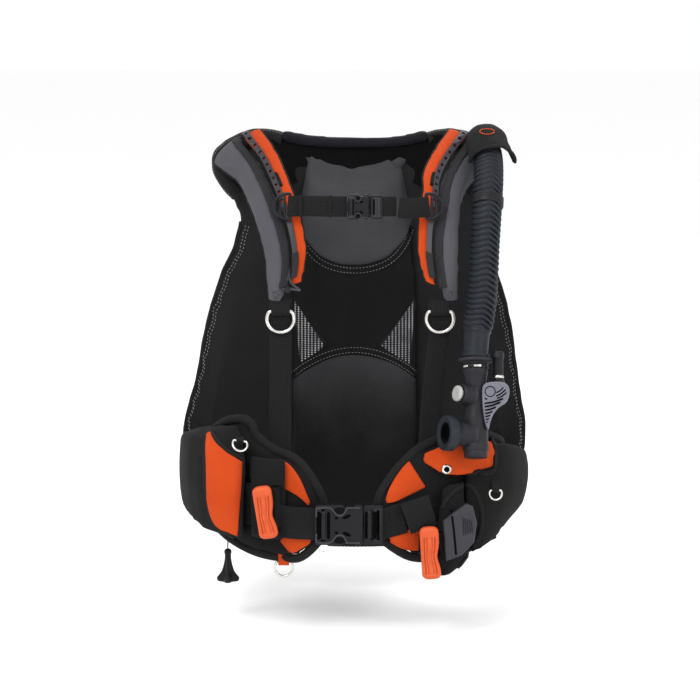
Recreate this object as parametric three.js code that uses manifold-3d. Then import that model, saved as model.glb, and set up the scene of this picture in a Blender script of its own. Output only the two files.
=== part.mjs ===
// Jacket buoyancy compensator vest, as worn, with its webbing, buckles, pockets and power inflator.
// Millimetres. +X is the wearer's left, +Y points behind the back to the tank, +Z is up.
// Origin: the middle of the flat face in the backplate's tank cradle.

import * as THREE from "three";
import { mergeVertices } from "three/addons/utils/BufferGeometryUtils.js";
import Module from "manifold-3d";

// ---- driving dimensions --------------------------------------------------------------------

const GAP = 0.3; // clearance between neighbouring pieces

const PLATE = { width: 150, bottom: -170, top: 172, thick: 14, rib: 16, ribX: 38 };
const TANK = { radius: 92, bandHeight: 50, bandZ: 40, bandThick: 2.6 };
const SHOULDER_WEB = { width: 27, thick: 2.6 };
const CHEST_WEB = { width: 25, thick: 2.2, z: 186 };
const WAIST_WEB = { width: 40, thick: 2.6, z: -192 };
const LOBE = { a: 185, b: 122, y: -165, half: 7 }; // ellipse round the waist, seen from above
const HOSE_RADIUS = 18.5;
const D_RING = { radius: 16.5, wire: 2.3, bar: 9 };

const WEARER_RIGHT = -1;
const WEARER_LEFT = 1;

// ---- finishes ------------------------------------------------------------------------------

const finish = (color, roughness, metalness = 0) =>
  new THREE.MeshStandardMaterial({ color, roughness, metalness });
const BLACK_NYLON = finish(0x1b1b1d, 0.85);
const GREY_NYLON = finish(0x5f5e63, 0.85);
const ORANGE_NYLON = finish(0xdc4f14, 0.8);
const BLACK_WEBBING = finish(0x1e1e1f, 0.8);
const BLACK_PLASTIC = finish(0x232326, 0.45);
const GREY_PLASTIC = finish(0x56565b, 0.5);
const ORANGE_RUBBER = finish(0xf2652e, 0.55);
const HOSE_RUBBER = finish(0x2c3036, 0.6);
const STEEL = finish(0xd6d2cc, 0.25, 1);

// ---- solids --------------------------------------------------------------------------------

const wasm = await Module();
wasm.setup();

const vec = (p) => new THREE.Vector3(...p);
const lerp = THREE.MathUtils.lerp;
const radians = THREE.MathUtils.degToRad;

// Shared vertices merged, only positions kept, faces turned outwards.
function closed(geometry) {
  const bare = geometry.clone();
  bare.deleteAttribute("normal");
  bare.deleteAttribute("uv");
  const merged = mergeVertices(bare, 1e-3);
  if (volumeOf(merged) < 0) {
    const index = merged.index.array;
    for (let i = 0; i < index.length; i += 3) {
      [index[i + 1], index[i + 2]] = [index[i + 2], index[i + 1]];
    }
  }
  return merged;
}

function volumeOf(geometry) {
  const position = geometry.attributes.position;
  const index = geometry.index.array;
  const corners = [new THREE.Vector3(), new THREE.Vector3(), new THREE.Vector3()];
  let volume = 0;
  for (let i = 0; i < index.length; i += 3) {
    corners.forEach((corner, k) => corner.fromBufferAttribute(position, index[i + k]));
    volume += corners[0].dot(corners[1].clone().cross(corners[2])) / 6;
  }
  return volume;
}

function solid(geometry) {
  const merged = closed(geometry);
  return new wasm.Manifold(
    new wasm.Mesh({
      numProp: 3,
      vertProperties: new Float32Array(merged.attributes.position.array),
      triVerts: new Uint32Array(merged.index.array),
    }),
  );
}

function geometryOf(manifold) {
  const mesh = manifold.getMesh();
  const geometry = new THREE.BufferGeometry();
  geometry.setAttribute("position", new THREE.BufferAttribute(mesh.vertProperties, 3));
  geometry.setIndex(new THREE.BufferAttribute(mesh.triVerts, 1));
  return geometry;
}

const joined = (first, ...rest) =>
  geometryOf(rest.reduce((sum, piece) => sum.add(solid(piece)), solid(first)));

const cut = (body, ...tools) =>
  geometryOf(tools.reduce((rest, tool) => rest.subtract(solid(tool)), solid(body)));

// A copy grown outwards, used as a cutter that leaves clearance.
function swollen(geometry, by) {
  const grown = closed(geometry);
  grown.computeVertexNormals();
  const position = grown.attributes.position;
  const normal = grown.attributes.normal;
  for (let i = 0; i < position.count; i += 1) {
    position.setXYZ(
      i,
      position.getX(i) + by * normal.getX(i),
      position.getY(i) + by * normal.getY(i),
      position.getZ(i) + by * normal.getZ(i),
    );
  }
  grown.deleteAttribute("normal");
  return grown;
}

// A soft piece trimmed back from its neighbours; only its largest part is kept.
function clearOf(geometry, neighbours, by = 4 * GAP) {
  const trim = (left, neighbour) => left.subtract(solid(swollen(neighbour, by)));
  const rest = neighbours.reduce(trim, solid(geometry));
  const parts = rest.decompose();
  parts.sort((a, b) => b.volume() - a.volume());
  return geometryOf(parts[0]);
}

function moved(geometry, at, turn = [0, 0, 0]) {
  const copy = geometry.clone();
  const euler = new THREE.Euler(...turn.map(radians), "ZYX");
  copy.applyMatrix4(new THREE.Matrix4().makeRotationFromEuler(euler));
  copy.translate(...at);
  return copy;
}

// Puts a geometry that stands along +Z onto a point, pointing along a direction.
function aimed(geometry, at, direction) {
  const copy = geometry.clone();
  const spin = new THREE.Quaternion().setFromUnitVectors(vec([0, 0, 1]), vec(direction).normalize());
  copy.applyQuaternion(spin);
  copy.translate(...at);
  return copy;
}

const box = (x, y, z, at = [0, 0, 0]) => moved(new THREE.BoxGeometry(x, y, z), at);

// A turned piece along +Z from pairs of radius and height, starting and ending on the axis.
const turnedPiece = (profile, sides = 24) =>
  new THREE.LatheGeometry(profile.map(([r, z]) => new THREE.Vector2(r, z)), sides).rotateX(Math.PI / 2);

const rod = (radius, length, sides = 16) =>
  turnedPiece([[0, 0], [radius, 0], [radius, length], [0, length]], sides);

// A hollow turned piece from a closed outline of radius and height.
const turnedRing = (profile, sides = 24) => turnedPiece([...profile, profile[0]], sides);

// A flat plate facing -Y from an outline of X and Z, its front face at y and its back at y + thick.
function plate(outline, y, thick, { holes = [], bevel = 0 } = {}) {
  const shape = new THREE.Shape(outline.map(([x, z]) => new THREE.Vector2(x, z)));
  holes.forEach((hole) => shape.holes.push(new THREE.Path(hole.map(([x, z]) => new THREE.Vector2(x, z)))));
  const geometry = new THREE.ExtrudeGeometry(shape, {
    depth: thick - 2 * bevel,
    bevelEnabled: bevel > 0,
    bevelThickness: bevel,
    bevelSize: bevel,
    bevelOffset: -bevel,
    bevelSegments: 1,
  });
  geometry.rotateX(Math.PI / 2);
  geometry.translate(0, y + thick - bevel, 0);
  return geometry;
}

// The corners of a rounded rectangle, centred on (x, z).
function rounded(width, height, radius, x = 0, z = 0, steps = 3) {
  const points = [];
  const quarters = [[1, 1, 0], [-1, 1, 90], [-1, -1, 180], [1, -1, 270]];
  for (const [sx, sz, start] of quarters) {
    for (let i = 0; i <= steps; i += 1) {
      const angle = radians(start + (90 * i) / steps);
      points.push([
        x + sx * (width / 2 - radius) + radius * Math.cos(angle),
        z + sz * (height / 2 - radius) + radius * Math.sin(angle),
      ]);
    }
  }
  return points;
}

// ---- soft forms ----------------------------------------------------------------------------

const smooth = (points, isClosed = false) =>
  new THREE.CatmullRomCurve3(points.map(vec), isClosed, "catmullrom", 0.5);

// A smooth surface through rows of points: u runs along a row, v from row to row.
function net(rows) {
  const curves = rows.map((row) => smooth(row));
  return (u, v) => {
    const across = new THREE.CatmullRomCurve3(curves.map((c) => c.getPoint(u)), false, "catmullrom", 0.5);
    return across.getPoint(v);
  };
}

// The smooth value at t of a list of pairs [t, value].
function graded(pairs, t) {
  const last = pairs.length - 1;
  let k = 0;
  while (k < last - 1 && t > pairs[k + 1][0]) {
    k += 1;
  }
  const [t0, v0] = pairs[k];
  const [t1, v1] = pairs[k + 1];
  const part = THREE.MathUtils.clamp((t - t0) / (t1 - t0), 0, 1);
  return lerp(v0, v1, part * part * (3 - 2 * part));
}

// A block bent by a function of u, v and w, each from 0 to 1.
function bent(place, across, along) {
  const block = new THREE.BoxGeometry(1, 1, 1, across, along, 1);
  const position = block.attributes.position;
  for (let i = 0; i < position.count; i += 1) {
    const p = place(position.getX(i) + 0.5, position.getY(i) + 0.5, position.getZ(i) + 0.5);
    position.setXYZ(i, p.x, p.y, p.z);
  }
  return closed(block);
}

const between = (back, front, across, along) =>
  bent((u, v, w) => back(u, v).lerp(front(u, v), w), across, along);

function normalOf(surface, u, v) {
  const step = 0.01;
  const du = surface(Math.min(u + step, 1), v).sub(surface(Math.max(u - step, 0), v));
  const dv = surface(u, Math.min(v + step, 1)).sub(surface(u, Math.max(v - step, 0)));
  return du.cross(dv).normalize();
}

// A padded sheet round a surface: full in the middle, thinner at its edges.
function pad(surface, half, across, along, edge = 0.45) {
  return bent((u, v, w) => {
    const full = (1 - (2 * u - 1) ** 4) * (1 - (2 * v - 1) ** 4);
    const reach = half * (edge + (1 - edge) * full) * (2 * w - 1);
    return surface(u, v).addScaledVector(normalOf(surface, u, v), reach);
  }, across, along);
}

// Webbing along a line of points, its width along one direction.
function strap(points, width, thick, wide = [0, 0, 1], steps = 10) {
  const line = smooth(points);
  const surface = (u, v) => line.getPoint(v).addScaledVector(vec(wide), width * (u - 0.5));
  return pad(surface, thick / 2, 1, steps, 1);
}

// A closed loop of webbing seen from above, with its width along Z.
function webLoop(points, thick, height, z) {
  const line = smooth(points.map(([x, y]) => [x, y, 0]), true);
  const count = 48;
  const side = (offset) => {
    const outline = [];
    for (let i = 0; i < count; i += 1) {
      const p = line.getPoint(i / count);
      const t = line.getTangent(i / count);
      outline.push(new THREE.Vector2(p.x + offset * t.y, p.y - offset * t.x));
    }
    return outline;
  };
  const shape = new THREE.Shape(side(thick / 2));
  shape.holes.push(new THREE.Path(side(-thick / 2)));
  const loop = new THREE.ExtrudeGeometry(shape, { depth: height, bevelEnabled: false });
  loop.translate(0, 0, z - height / 2);
  return loop;
}

// A round tube along a smooth line of points.
function tube(points, radius, sides = 12, steps = 16) {
  const section = new THREE.Shape();
  for (let i = 0; i < sides; i += 1) {
    const angle = (2 * Math.PI * i) / sides;
    section[i === 0 ? "moveTo" : "lineTo"](radius * Math.cos(angle), radius * Math.sin(angle));
  }
  return new THREE.ExtrudeGeometry(section, { steps, extrudePath: smooth(points), bevelEnabled: false });
}

// ---- the assembly --------------------------------------------------------------------------

const vest = new THREE.Group();

function add(name, geometry, material) {
  const mesh = new THREE.Mesh(closed(geometry), material);
  mesh.name = name;
  vest.add(mesh);
  return mesh.geometry;
}

// ---- back: plate, tank band, bladder, pads, collar ------------------------------------------

function backplate() {
  const { width, bottom, top, thick, rib, ribX } = PLATE;
  const w = width / 2;
  const outline = [
    [-50, bottom], [50, bottom], [62, bottom + 14], [58, -90], [w, -40], [w, 90],
    [62, 140], [48, top], [-48, top], [-62, 140], [-w, 90], [-w, -40], [-58, -90], [-62, bottom + 14],
  ];
  const slot = (x) => rounded(16, TANK.bandHeight + 6, 3, x, TANK.bandZ, 2);
  const grip = rounded(80, 22, 10, 0, 150);
  const sheet = plate(outline, -thick, thick, { holes: [slot(-61), slot(61), grip] });
  const groove = box(124, 9.2, TANK.bandHeight + 4, [0, -thick, TANK.bandZ]);
  const ribs = [-ribX, ribX].map((x) => box(9, rib + 4, 250, [x, rib / 2 - 2, -10]));
  return cut(joined(sheet, ...ribs), groove);
}

function tankBand() {
  const centre = PLATE.rib + Math.sqrt(TANK.radius ** 2 - PLATE.ribX ** 2);
  const round = TANK.radius + 2;
  const half = [[0, -12.2], [28, -12.2], [52, -12], [61, -7], [63.5, 2], [69, 18]];
  for (let i = 0; i <= 6; i += 1) {
    const angle = radians(lerp(-35, 90, i / 6));
    half.push([round * Math.cos(angle), centre + round * Math.sin(angle)]);
  }
  const other = half.slice(1, -1).reverse().map(([x, y]) => [-x, y]);
  return webLoop([...half, ...other], TANK.bandThick, TANK.bandHeight, TANK.bandZ);
}

const CAM = { y: 197.2, pinX: -20, pinRise: 8, length: 60, height: 56, cheek: 2.6 };
CAM.pinY = CAM.y + CAM.pinRise;

function camFrame() {
  const base = box(CAM.length, 2.4, CAM.height, [0, CAM.y + 1.2, TANK.bandZ]);
  const cheek = (side) =>
    box(30, 13, CAM.cheek, [-14, CAM.y + 6.5, TANK.bandZ + side * (CAM.height - CAM.cheek) / 2]);
  const bore = moved(rod(2.8, CAM.height + 4), [CAM.pinX, CAM.pinY, TANK.bandZ - CAM.height / 2 - 2]);
  return cut(joined(base, cheek(-1), cheek(1)), bore);
}

function camPin() {
  return moved(rod(2.5, CAM.height), [CAM.pinX, CAM.pinY, TANK.bandZ - CAM.height / 2]);
}

function camLever() {
  const height = CAM.height - 2 * CAM.cheek - 1;
  const shape = new THREE.Shape();
  shape.absarc(0, 0, 4.8, Math.PI / 2, 1.5 * Math.PI, false);
  shape.lineTo(30, -3.5);
  shape.quadraticCurveTo(42, -3, 48, 2);
  shape.lineTo(46.5, 4.5);
  shape.quadraticCurveTo(36, 0.6, 0, 4.8);
  const body = new THREE.ExtrudeGeometry(shape, { depth: height, bevelEnabled: false, curveSegments: 8 });
  const bore = moved(rod(2.8, height + 4), [0, 0, -2]);
  return moved(cut(body, bore), [CAM.pinX, CAM.pinY, TANK.bandZ - height / 2]);
}

function airCell() {
  const surface = net([
    [[-172, -132, -214], [-96, -52, -274], [0, -34, -290], [96, -52, -276], [172, -132, -212]],
    [[-196, -146, -176], [-110, -50, -190], [0, -32, -190], [110, -50, -190], [196, -146, -172]],
    [[-221, -126, -124], [-118, -48, -122], [0, -32, -120], [118, -48, -122], [219, -126, -128]],
    [[-207, -106, -50], [-112, -44, -50], [0, -32, -50], [115, -44, -50], [212, -108, -50]],
    [[-187, -86, 50], [-100, -40, 50], [0, -32, 50], [102, -40, 50], [200, -90, 42]],
    [[-150, -60, 150], [-85, -36, 150], [0, -32, 150], [85, -36, 150], [166, -64, 146]],
    [[-174, -72, 206], [-100, -48, 204], [0, -34, 196], [100, -48, 204], [172, -72, 206]],
    [[-134, -80, 250], [-92, -62, 252], [0, -40, 232], [92, -62, 252], [134, -80, 250]],
  ]);
  return bent((u, v, w) => {
    const full = (1 - (2 * u - 1) ** 4) * (1 - (2 * v - 1) ** 8);
    const reach = (4 + 10 * full) * (2 * w - 1);
    return surface(u, v).addScaledVector(normalOf(surface, u, v), reach);
  }, 16, 18);
}

function backPad() {
  const surface = net([
    [[-76, -62, -268], [0, -64, -274], [76, -62, -268]],
    [[-84, -64, -150], [0, -70, -150], [84, -64, -150]],
    [[-84, -64, -20], [0, -68, -20], [84, -64, -20]],
    [[-80, -62, 90], [0, -64, 90], [80, -62, 90]],
    [[-62, -63, 214], [0, -64, 204], [62, -63, 214]],
  ]);
  return pad(surface, 11, 8, 12, 0.4);
}

function collar() {
  const route = [[-92, -74, 262], [-62, -58, 254], [-30, -50, 251], [0, -47, 250], [34, -49, 250],
    [64, -58, 254], [92, -74, 262]];
  return tube(route, 8, 8, 12);
}

// ---- shoulders -----------------------------------------------------------------------------

// Cross sections of the wearer's right shoulder strap: outer edge, inner edge, from behind to front.
const SHOULDER_SECTIONS = [
  [[-172, -64, 224], [-116, -62, 264]],
  [[-179, -96, 226], [-116, -96, 268]],
  [[-150, -132, 204], [-98, -134, 247]],
  [[-136, -164, 184], [-84, -168, 222]],
  [[-124, -192, 159], [-73, -194, 196]],
  [[-114, -208, 130], [-62, -212, 158]],
  [[-109, -215, 98], [-60, -218, 116]],
  [[-106, -218, 67], [-74, -218, 67]],
];
// The left strap hangs further out towards its lower end.
const LEFT_SWAY = [0, 0, 0, 0, 8, 14, 19, 20];

function shoulderPoint(side, s, f, height) {
  const edge = (k) =>
    smooth(SHOULDER_SECTIONS.map((section, i) => {
      const [x, y, z] = section[k];
      const sway = side === WEARER_LEFT ? LEFT_SWAY[i] : 0;
      return [side === WEARER_LEFT ? -x + sway : x, y, z];
    }));
  const outer = edge(0);
  const inner = edge(1);
  const at = (ss, ff) => outer.getPoint(ss).lerp(inner.getPoint(ss), ff);
  const step = 0.01;
  const along = at(Math.min(s + step, 1), f).sub(at(Math.max(s - step, 0), f));
  const across = inner.getPoint(s).sub(outer.getPoint(s));
  const up = across.cross(along).normalize().multiplyScalar(side);
  const camber = 5 * (1 - (2 * f - 1) ** 2);
  return at(s, f).addScaledVector(up, height + camber);
}

// A block laid along a shoulder strap between limits of length, breadth and height.
const shoulderBlock = (side, [s0, s1], [f0, f1], [h0, h1], along, across, crown = 0) =>
  bent((u, v, w) => {
    const bulge = crown * (1 - (2 * u - 1) ** 4) * (1 - (2 * v - 1) ** 6);
    return shoulderPoint(side, lerp(s0, s1, v), lerp(f0, f1, u), lerp(h0 - bulge, h1 + bulge, w));
  }, across, along);

const RAIL = { from: 0.1, to: 0.86, f0: 0.7, f1: 0.81, low: 4.6, high: 7.4, holes: 13 };

const shoulderPad = (side) => shoulderBlock(side, [0, 1], [0, 0.66], [-3, 3], 14, 4, 4);

const shoulderTrim = (side) => shoulderBlock(side, [0, 0.93], [0.675, 1], [-3, 3], 14, 3, 1);

function shoulderRail(side) {
  const strip = shoulderBlock(side, [RAIL.from, RAIL.to], [RAIL.f0, RAIL.f1], [RAIL.low, RAIL.high], 18, 1);
  const middle = (RAIL.f0 + RAIL.f1) / 2;
  const holes = [];
  for (let i = 0; i < RAIL.holes; i += 1) {
    const s = RAIL.from + 0.035 + 0.043 * i;
    holes.push(shoulderBlock(side, [s, s + 0.016], [middle - 0.028, middle + 0.028],
      [RAIL.low - 2, RAIL.high + 2], 1, 1));
  }
  return cut(strip, ...holes);
}

// Down-hanging webbing from the pad's end to the inside of the waist lobe, with a loop for the D-ring.
const WEB_X = { [WEARER_RIGHT]: -91, [WEARER_LEFT]: 104 };
const RING_Z = 57; // height of the D-ring's straight bar

function shoulderWebbing(side) {
  const x = WEB_X[side];
  const low = side === WEARER_LEFT ? 90 : -92;
  const band = strap([[x, -221, 65], [x, -221, 50], [x, -219.6, 30], [lerp(x, low, 0.6), -224, -50],
    [low, -244, -130]], SHOULDER_WEB.width, SHOULDER_WEB.thick, [1, 0, 0], 12);
  const y = -221 - SHOULDER_WEB.thick / 2 - 2.9;
  const wide = 21;
  const lie = (g, from) => aimed(g, [x - wide / 2 + from, y, RING_Z], [1, 0, 0]);
  const tunnel = lie(rod(5.2, wide, 12), 0);
  const bore = lie(rod(D_RING.wire + GAP + 0.2, wide + 4, 12), -2);
  return cut(joined(band, tunnel), bore);
}

// A wire ring whose top is flattened to a straight bar; centre of the bar at the origin, hanging in XZ.
function ringShape(radius, wire, bar, around = 20, section = 6) {
  const torus = new THREE.TorusGeometry(radius, wire, section, around);
  const position = torus.attributes.position;
  for (let i = 0; i < position.count; i += 1) {
    const p = new THREE.Vector3().fromBufferAttribute(position, i);
    const flat = Math.hypot(p.x, p.y);
    const centre = new THREE.Vector2(p.x / flat, p.y / flat).multiplyScalar(radius);
    const rise = Math.max(0, centre.y - bar);
    position.setXYZ(i, p.x, p.y - rise - bar, p.z);
  }
  torus.rotateX(Math.PI / 2);
  return closed(torus);
}

const shoulderRing = (side) =>
  moved(ringShape(D_RING.radius, D_RING.wire, D_RING.bar),
    [WEB_X[side], -221 - SHOULDER_WEB.thick / 2 - 2.9, RING_Z]);

// ---- chest strap ---------------------------------------------------------------------------

const CHEST = { sliderX: 88, sliderY: -221, buckleY: -237 };

function chestSlider(side) {
  const x = side * CHEST.sliderX + (side === WEARER_LEFT ? 8 : 0);
  const window = rounded(9, 27, 1, x - side * 2, CHEST_WEB.z, 1);
  return plate(rounded(19, 32, 3, x, CHEST_WEB.z), CHEST.sliderY, 4, { holes: [window], bevel: 0.6 });
}

const chestStrapRight = () =>
  strap([[-87, -219.3, 186], [-83, -222.8, 186], [-78, -224.4, 186], [-60, -227, 187], [-36, -233, 187],
    [-9.5, -236.5, 187]], CHEST_WEB.width, CHEST_WEB.thick, [0, 0, 1], 10);

const chestStrapLeft = () =>
  strap([[95, -219.3, 186], [91, -222.8, 186], [86, -225.4, 185.6], [74, -231.6, 185], [62, -237.4, 185],
    [53, -239.8, 186]], CHEST_WEB.width, CHEST_WEB.thick, [0, 0, 1], 8);

const chestTongue = () =>
  strap([[34.2, -237, 187], [39, -234.6, 187], [50, -232.4, 187]], CHEST_WEB.width - 1, CHEST_WEB.thick,
    [0, 0, 1], 4);

// ---- side-release buckles ------------------------------------------------------------------

// Socket half: webbing bar at x = 0, mouth at x = length; scallops show the prongs.
function buckleSocket({ height, thick, length, reach, wall, scallop }) {
  const outline = rounded(length, height, 3, length / 2, 0);
  const body = plate(outline, -thick / 2, thick, { bevel: 1 });
  const cavity = box(reach + 2, thick - 2 * wall, height - 2 * wall, [length - reach / 2 + 1, 0, 0]);
  const slot = box(4.5, thick + 4, height - 4 * wall, [length * 0.17, 0, 0]);
  const bites = [-1, 1].map((side) => {
    const centre = side * (height / 2 + scallop * 0.55);
    return aimed(rod(scallop, thick + 4, 20), [length - reach * 0.62, thick / 2 + 2, centre], [0, -1, 0]);
  });
  return cut(body, cavity, slot, ...bites);
}

// Plug half without its prongs: x = 0 at the socket's mouth, webbing slots beyond.
function bucklePlug({ height, thick, plug, reach, wall }) {
  const body = plate(rounded(plug, height - 1, 3, plug / 2, 0), -thick * 0.4, thick * 0.8, { bevel: 1 });
  const slots = [0.42, 0.74].map((f) => box(3.6, thick + 2, height - 5 * wall, [plug * f, 0, 0]));
  const guide = box(reach - 3, (thick - 2 * wall) * 0.5, height * 0.16, [-(reach - 3) / 2 + 1, 0, 0]);
  return joined(cut(body, ...slots), guide);
}

// One sprung arm with its press pad, from the plug's face (x = root) into the socket.
function buckleProng({ height, thick, reach, wall }, side, root = -GAP) {
  const z = height / 2 - wall - 0.5;
  const tip = reach - 1.5;
  const outline = [[root, z - 3.2], [root, z - 0.6], [-reach * 0.38, z - 0.6], [-reach * 0.45, z],
    [-reach * 0.82, z], [-tip, z - 3.5], [-tip, z - 6.5], [-reach * 0.45, z - 5.5], [-reach * 0.36, z - 3.2]];
  const deep = (thick - 2 * wall) * 0.62;
  const arm = plate(outline, -deep / 2, deep);
  return side > 0 ? arm : moved(arm, [0, 0, 0], [180, 0, 0]);
}

const WAIST_BUCKLE = { height: 49, thick: 15, length: 58, reach: 27, wall: 2.4, scallop: 9, plug: 24 };
const CHEST_BUCKLE = { height: 30, thick: 10, length: 26, reach: 15, wall: 1.6, scallop: 5, plug: 16 };
const WAIST_BUCKLE_AT = [9.5, -299, WAIST_WEB.z]; // the socket's mouth
const CHEST_BUCKLE_AT = [17, -237.5, CHEST_WEB.z + 1];

// The small chest plug carries its two arms in one piece.
const chestPlug = () =>
  joined(bucklePlug(CHEST_BUCKLE), buckleProng(CHEST_BUCKLE, 1, 2), buckleProng(CHEST_BUCKLE, -1, 2));

const socketAt = (spec, at) => moved(buckleSocket(spec), [at[0] - spec.length, at[1], at[2]]);
const plugAt = (spec, at, geometry) => moved(geometry, [at[0] + 2 * GAP, at[1], at[2]]);

// ---- waist belt ----------------------------------------------------------------------------

const waistBeltRight = () =>
  strap([[-83.4, -292, -191], [-72, -293.6, -192], [-60, -296, -192], [-49, -298.6, -192]],
    WAIST_WEB.width, WAIST_WEB.thick, [0, 0, 1], 8);

const waistBeltTongue = () =>
  strap([[35.2, -296.5, -192], [41, -293.6, -191.2], [49, -292.3, -189], [59, -291.8, -186]],
    WAIST_WEB.width - 2, WAIST_WEB.thick, [0, 0, 1], 6);

const waistBeltLeft = () =>
  strap([[62.5, -299.6, -184.5], [76, -298.4, -180], [94, -295.8, -174.5]],
    WAIST_WEB.width, WAIST_WEB.thick, [0, 0, 1], 4);

// ---- waist lobes, pockets and weight system -------------------------------------------------

// A point on the waist ellipse, t degrees forward of the wearer's side, standing out by an offset.
function waistPoint(side, t, z, offset = 0) {
  const angle = radians(t);
  const out = new THREE.Vector3(Math.cos(angle) / LOBE.a, -Math.sin(angle) / LOBE.b, 0).normalize();
  return new THREE.Vector3(
    side * (LOBE.a * Math.cos(angle) + offset * out.x),
    LOBE.y - LOBE.b * Math.sin(angle) + offset * out.y,
    z,
  );
}

const LOBE_EDGES = {
  [WEARER_RIGHT]: {
    from: -6,
    to: 78,
    top: [[-6, -122], [12, -102], [30, -80], [42, -72], [47, -77], [50, -92], [58, -106], [67, -116],
      [73, -136], [78, -168]],
    bottom: [[-6, -182], [12, -204], [30, -222], [48, -236], [62, -240], [70, -236], [78, -206]],
  },
  [WEARER_LEFT]: {
    from: -6,
    to: 81,
    top: [[-6, -126], [12, -110], [30, -96], [45, -90], [55, -92], [65, -103], [71, -118], [76, -136],
      [81, -164]],
    bottom: [[-6, -182], [12, -204], [30, -222], [48, -238], [64, -240], [73, -230], [81, -205]],
  },
};

function waistLobe(side) {
  const { from, to, top, bottom } = LOBE_EDGES[side];
  const surface = (u, v) => {
    const t = lerp(from, to, u);
    return waistPoint(side, t, lerp(graded(bottom, t), graded(top, t), v));
  };
  return pad(surface, LOBE.half, 18, 5, 0.5);
}

// Cargo pockets: their backs lie on the lobe at these degrees, their outer faces are rows of points
// from the back of the hip to the front, lowest row first.
const POCKET_BACK = {
  degrees: [3, 14, 27, 38, 45],
  lift: 8.2,
  low: { [WEARER_RIGHT]: [-182, -194, -208, -214, -212], [WEARER_LEFT]: [-178, -194, -208, -226, -236] },
  high: { [WEARER_RIGHT]: [-102, -86, -76, -72, -74], [WEARER_LEFT]: [-126, -110, -98, -95, -95] },
};
const POCKET_FACE = {
  [WEARER_RIGHT]: [
    [[-210, -158, -182], [-212, -204, -194], [-186, -258, -208], [-141, -291, -214], [-129, -270, -212]],
    [[-214, -158, -143], [-218, -204, -146], [-190, -262, -152], [-141, -295, -164], [-128, -272, -162]],
    [[-212, -158, -104], [-214, -204, -98], [-186, -258, -96], [-141, -290, -114], [-129, -268, -112]],
  ],
  [WEARER_LEFT]: [
    [[208, -158, -178], [206, -200, -194], [184, -244, -212], [152, -276, -232], [131, -272, -240]],
    [[213, -158, -154], [216, -200, -156], [193, -250, -160], [156, -281, -166], [131, -276, -168]],
    [[212, -158, -130], [212, -192, -118], [188, -231, -106], [152, -258, -104], [131, -264, -104]],
  ],
};

const pocketFace = (side) => net(POCKET_FACE[side]);

function pocket(side) {
  const { degrees, lift, low, high } = POCKET_BACK;
  const row = (f) =>
    degrees.map((t, i) => waistPoint(side, t, lerp(low[side][i], high[side][i], f), lift).toArray());
  return between(net([row(0), row(0.5), row(1)]), pocketFace(side), 10, 7);
}

// The orange panel sewn on the right pocket's front face.
function pocketPanel() {
  const face = pocketFace(WEARER_RIGHT);
  return bent((u, v, w) => {
    const uu = lerp(0.46, 0.755, u);
    const vv = lerp(0.05, 0.95, v);
    return face(uu, vv).addScaledVector(normalOf(face, uu, vv), lerp(1, 3.6, w));
  }, 5, 6);
}

// The orange lid of the left pocket.
function pocketFlap() {
  const surface = net([
    [[84, -283, -120], [108, -283, -134], [134, -276, -136], [152, -268, -134], [170, -256, -134]],
    [[83, -282, -115], [108, -281, -115], [136, -273, -116], [154, -265, -116], [171, -254, -116]],
    [[84, -281, -109], [110, -278, -98], [136, -270, -97], [154, -262, -97], [166, -253, -98]],
  ]);
  return pad(surface, 1.8, 10, 5, 0.8);
}

// Weight channels: each pouch slides forward and inward out of its sleeve.
const WEIGHT = {
  [WEARER_RIGHT]: { mouth: [-96, -293.7, -173], dir: [0.835, -0.55, 0] },
  [WEARER_LEFT]: { mouth: [108, -286.2, -224], dir: [-0.8, -0.53, -0.28] },
};
const POUCH = { length: 76, thick: 13.4, height: { [WEARER_RIGHT]: 52, [WEARER_LEFT]: 40 } };

// A block in a weight channel: from and to are distances along the pull from the sleeve's mouth.
function channelBlock(side, from, to, height, thick) {
  const { mouth, dir } = WEIGHT[side];
  const pull = vec(dir).normalize();
  const across = vec([0, 0, 1]).cross(pull).normalize();
  const frame = new THREE.Matrix4().makeBasis(pull, across, pull.clone().cross(across));
  const block = box(to - from, thick, height, [(from + to) / 2, 0, 0]).applyMatrix4(frame);
  return block.translate(...mouth);
}

const weightPouch = (side) => channelBlock(side, -POUCH.length, 4, POUCH.height[side], POUCH.thick);
const weightChannel = (side) =>
  channelBlock(side, -POUCH.length - 1, 40, POUCH.height[side] + 2, POUCH.thick + 1.4);

function weightSleeveRight() {
  const back = net([
    [[-129, -262, -212], [-106, -275, -214], [-84, -283, -214]],
    [[-129, -262, -112], [-106, -275, -112], [-84, -283, -112]],
  ]);
  const front = net([
    [[-126, -290, -210], [-110, -301, -212], [-84, -299, -212]],
    [[-126, -294, -162], [-110, -303, -162], [-84, -300, -162]],
    [[-126, -280, -114], [-110, -286, -114], [-84, -293, -114]],
  ]);
  return between(back, front, 5, 6);
}

function weightSleeveLeft() {
  const back = net([
    [[88, -288, -256], [110, -279, -256], [128, -270, -240]],
    [[104, -286, -150], [112, -279, -146], [128, -267, -146]],
  ]);
  const front = net([
    [[92, -295, -258], [112, -302, -258], [142, -276, -238]],
    [[106, -297, -204], [118, -300, -204], [150, -276, -196]],
    [[106, -289, -150], [114, -288, -146], [146, -268, -146]],
  ]);
  return between(back, front, 5, 6);
}

// The rigid latch housing on the left sleeve.
function latchHousing() {
  const outline = [[106, -186], [120, -175], [134, -165], [142, -168], [147, -188], [144, -212],
    [129, -228], [110, -236]];
  return plate(outline, -311, 10, { bevel: 1.5 });
}

// A pull handle: a rounded bar, leaning, with shallow finger grooves.
function pullHandle(x, z, y, lean) {
  const bar = plate(rounded(23, 64, 9, 0, 0, 4), 0, 12, { bevel: 2.5 });
  const grooves = [-18, -10, -2, 6].map((rise) => box(14, 2, 3, [0, 0, rise]));
  return moved(cut(bar, ...grooves), [x, y, z], [0, lean, 0]);
}

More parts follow.
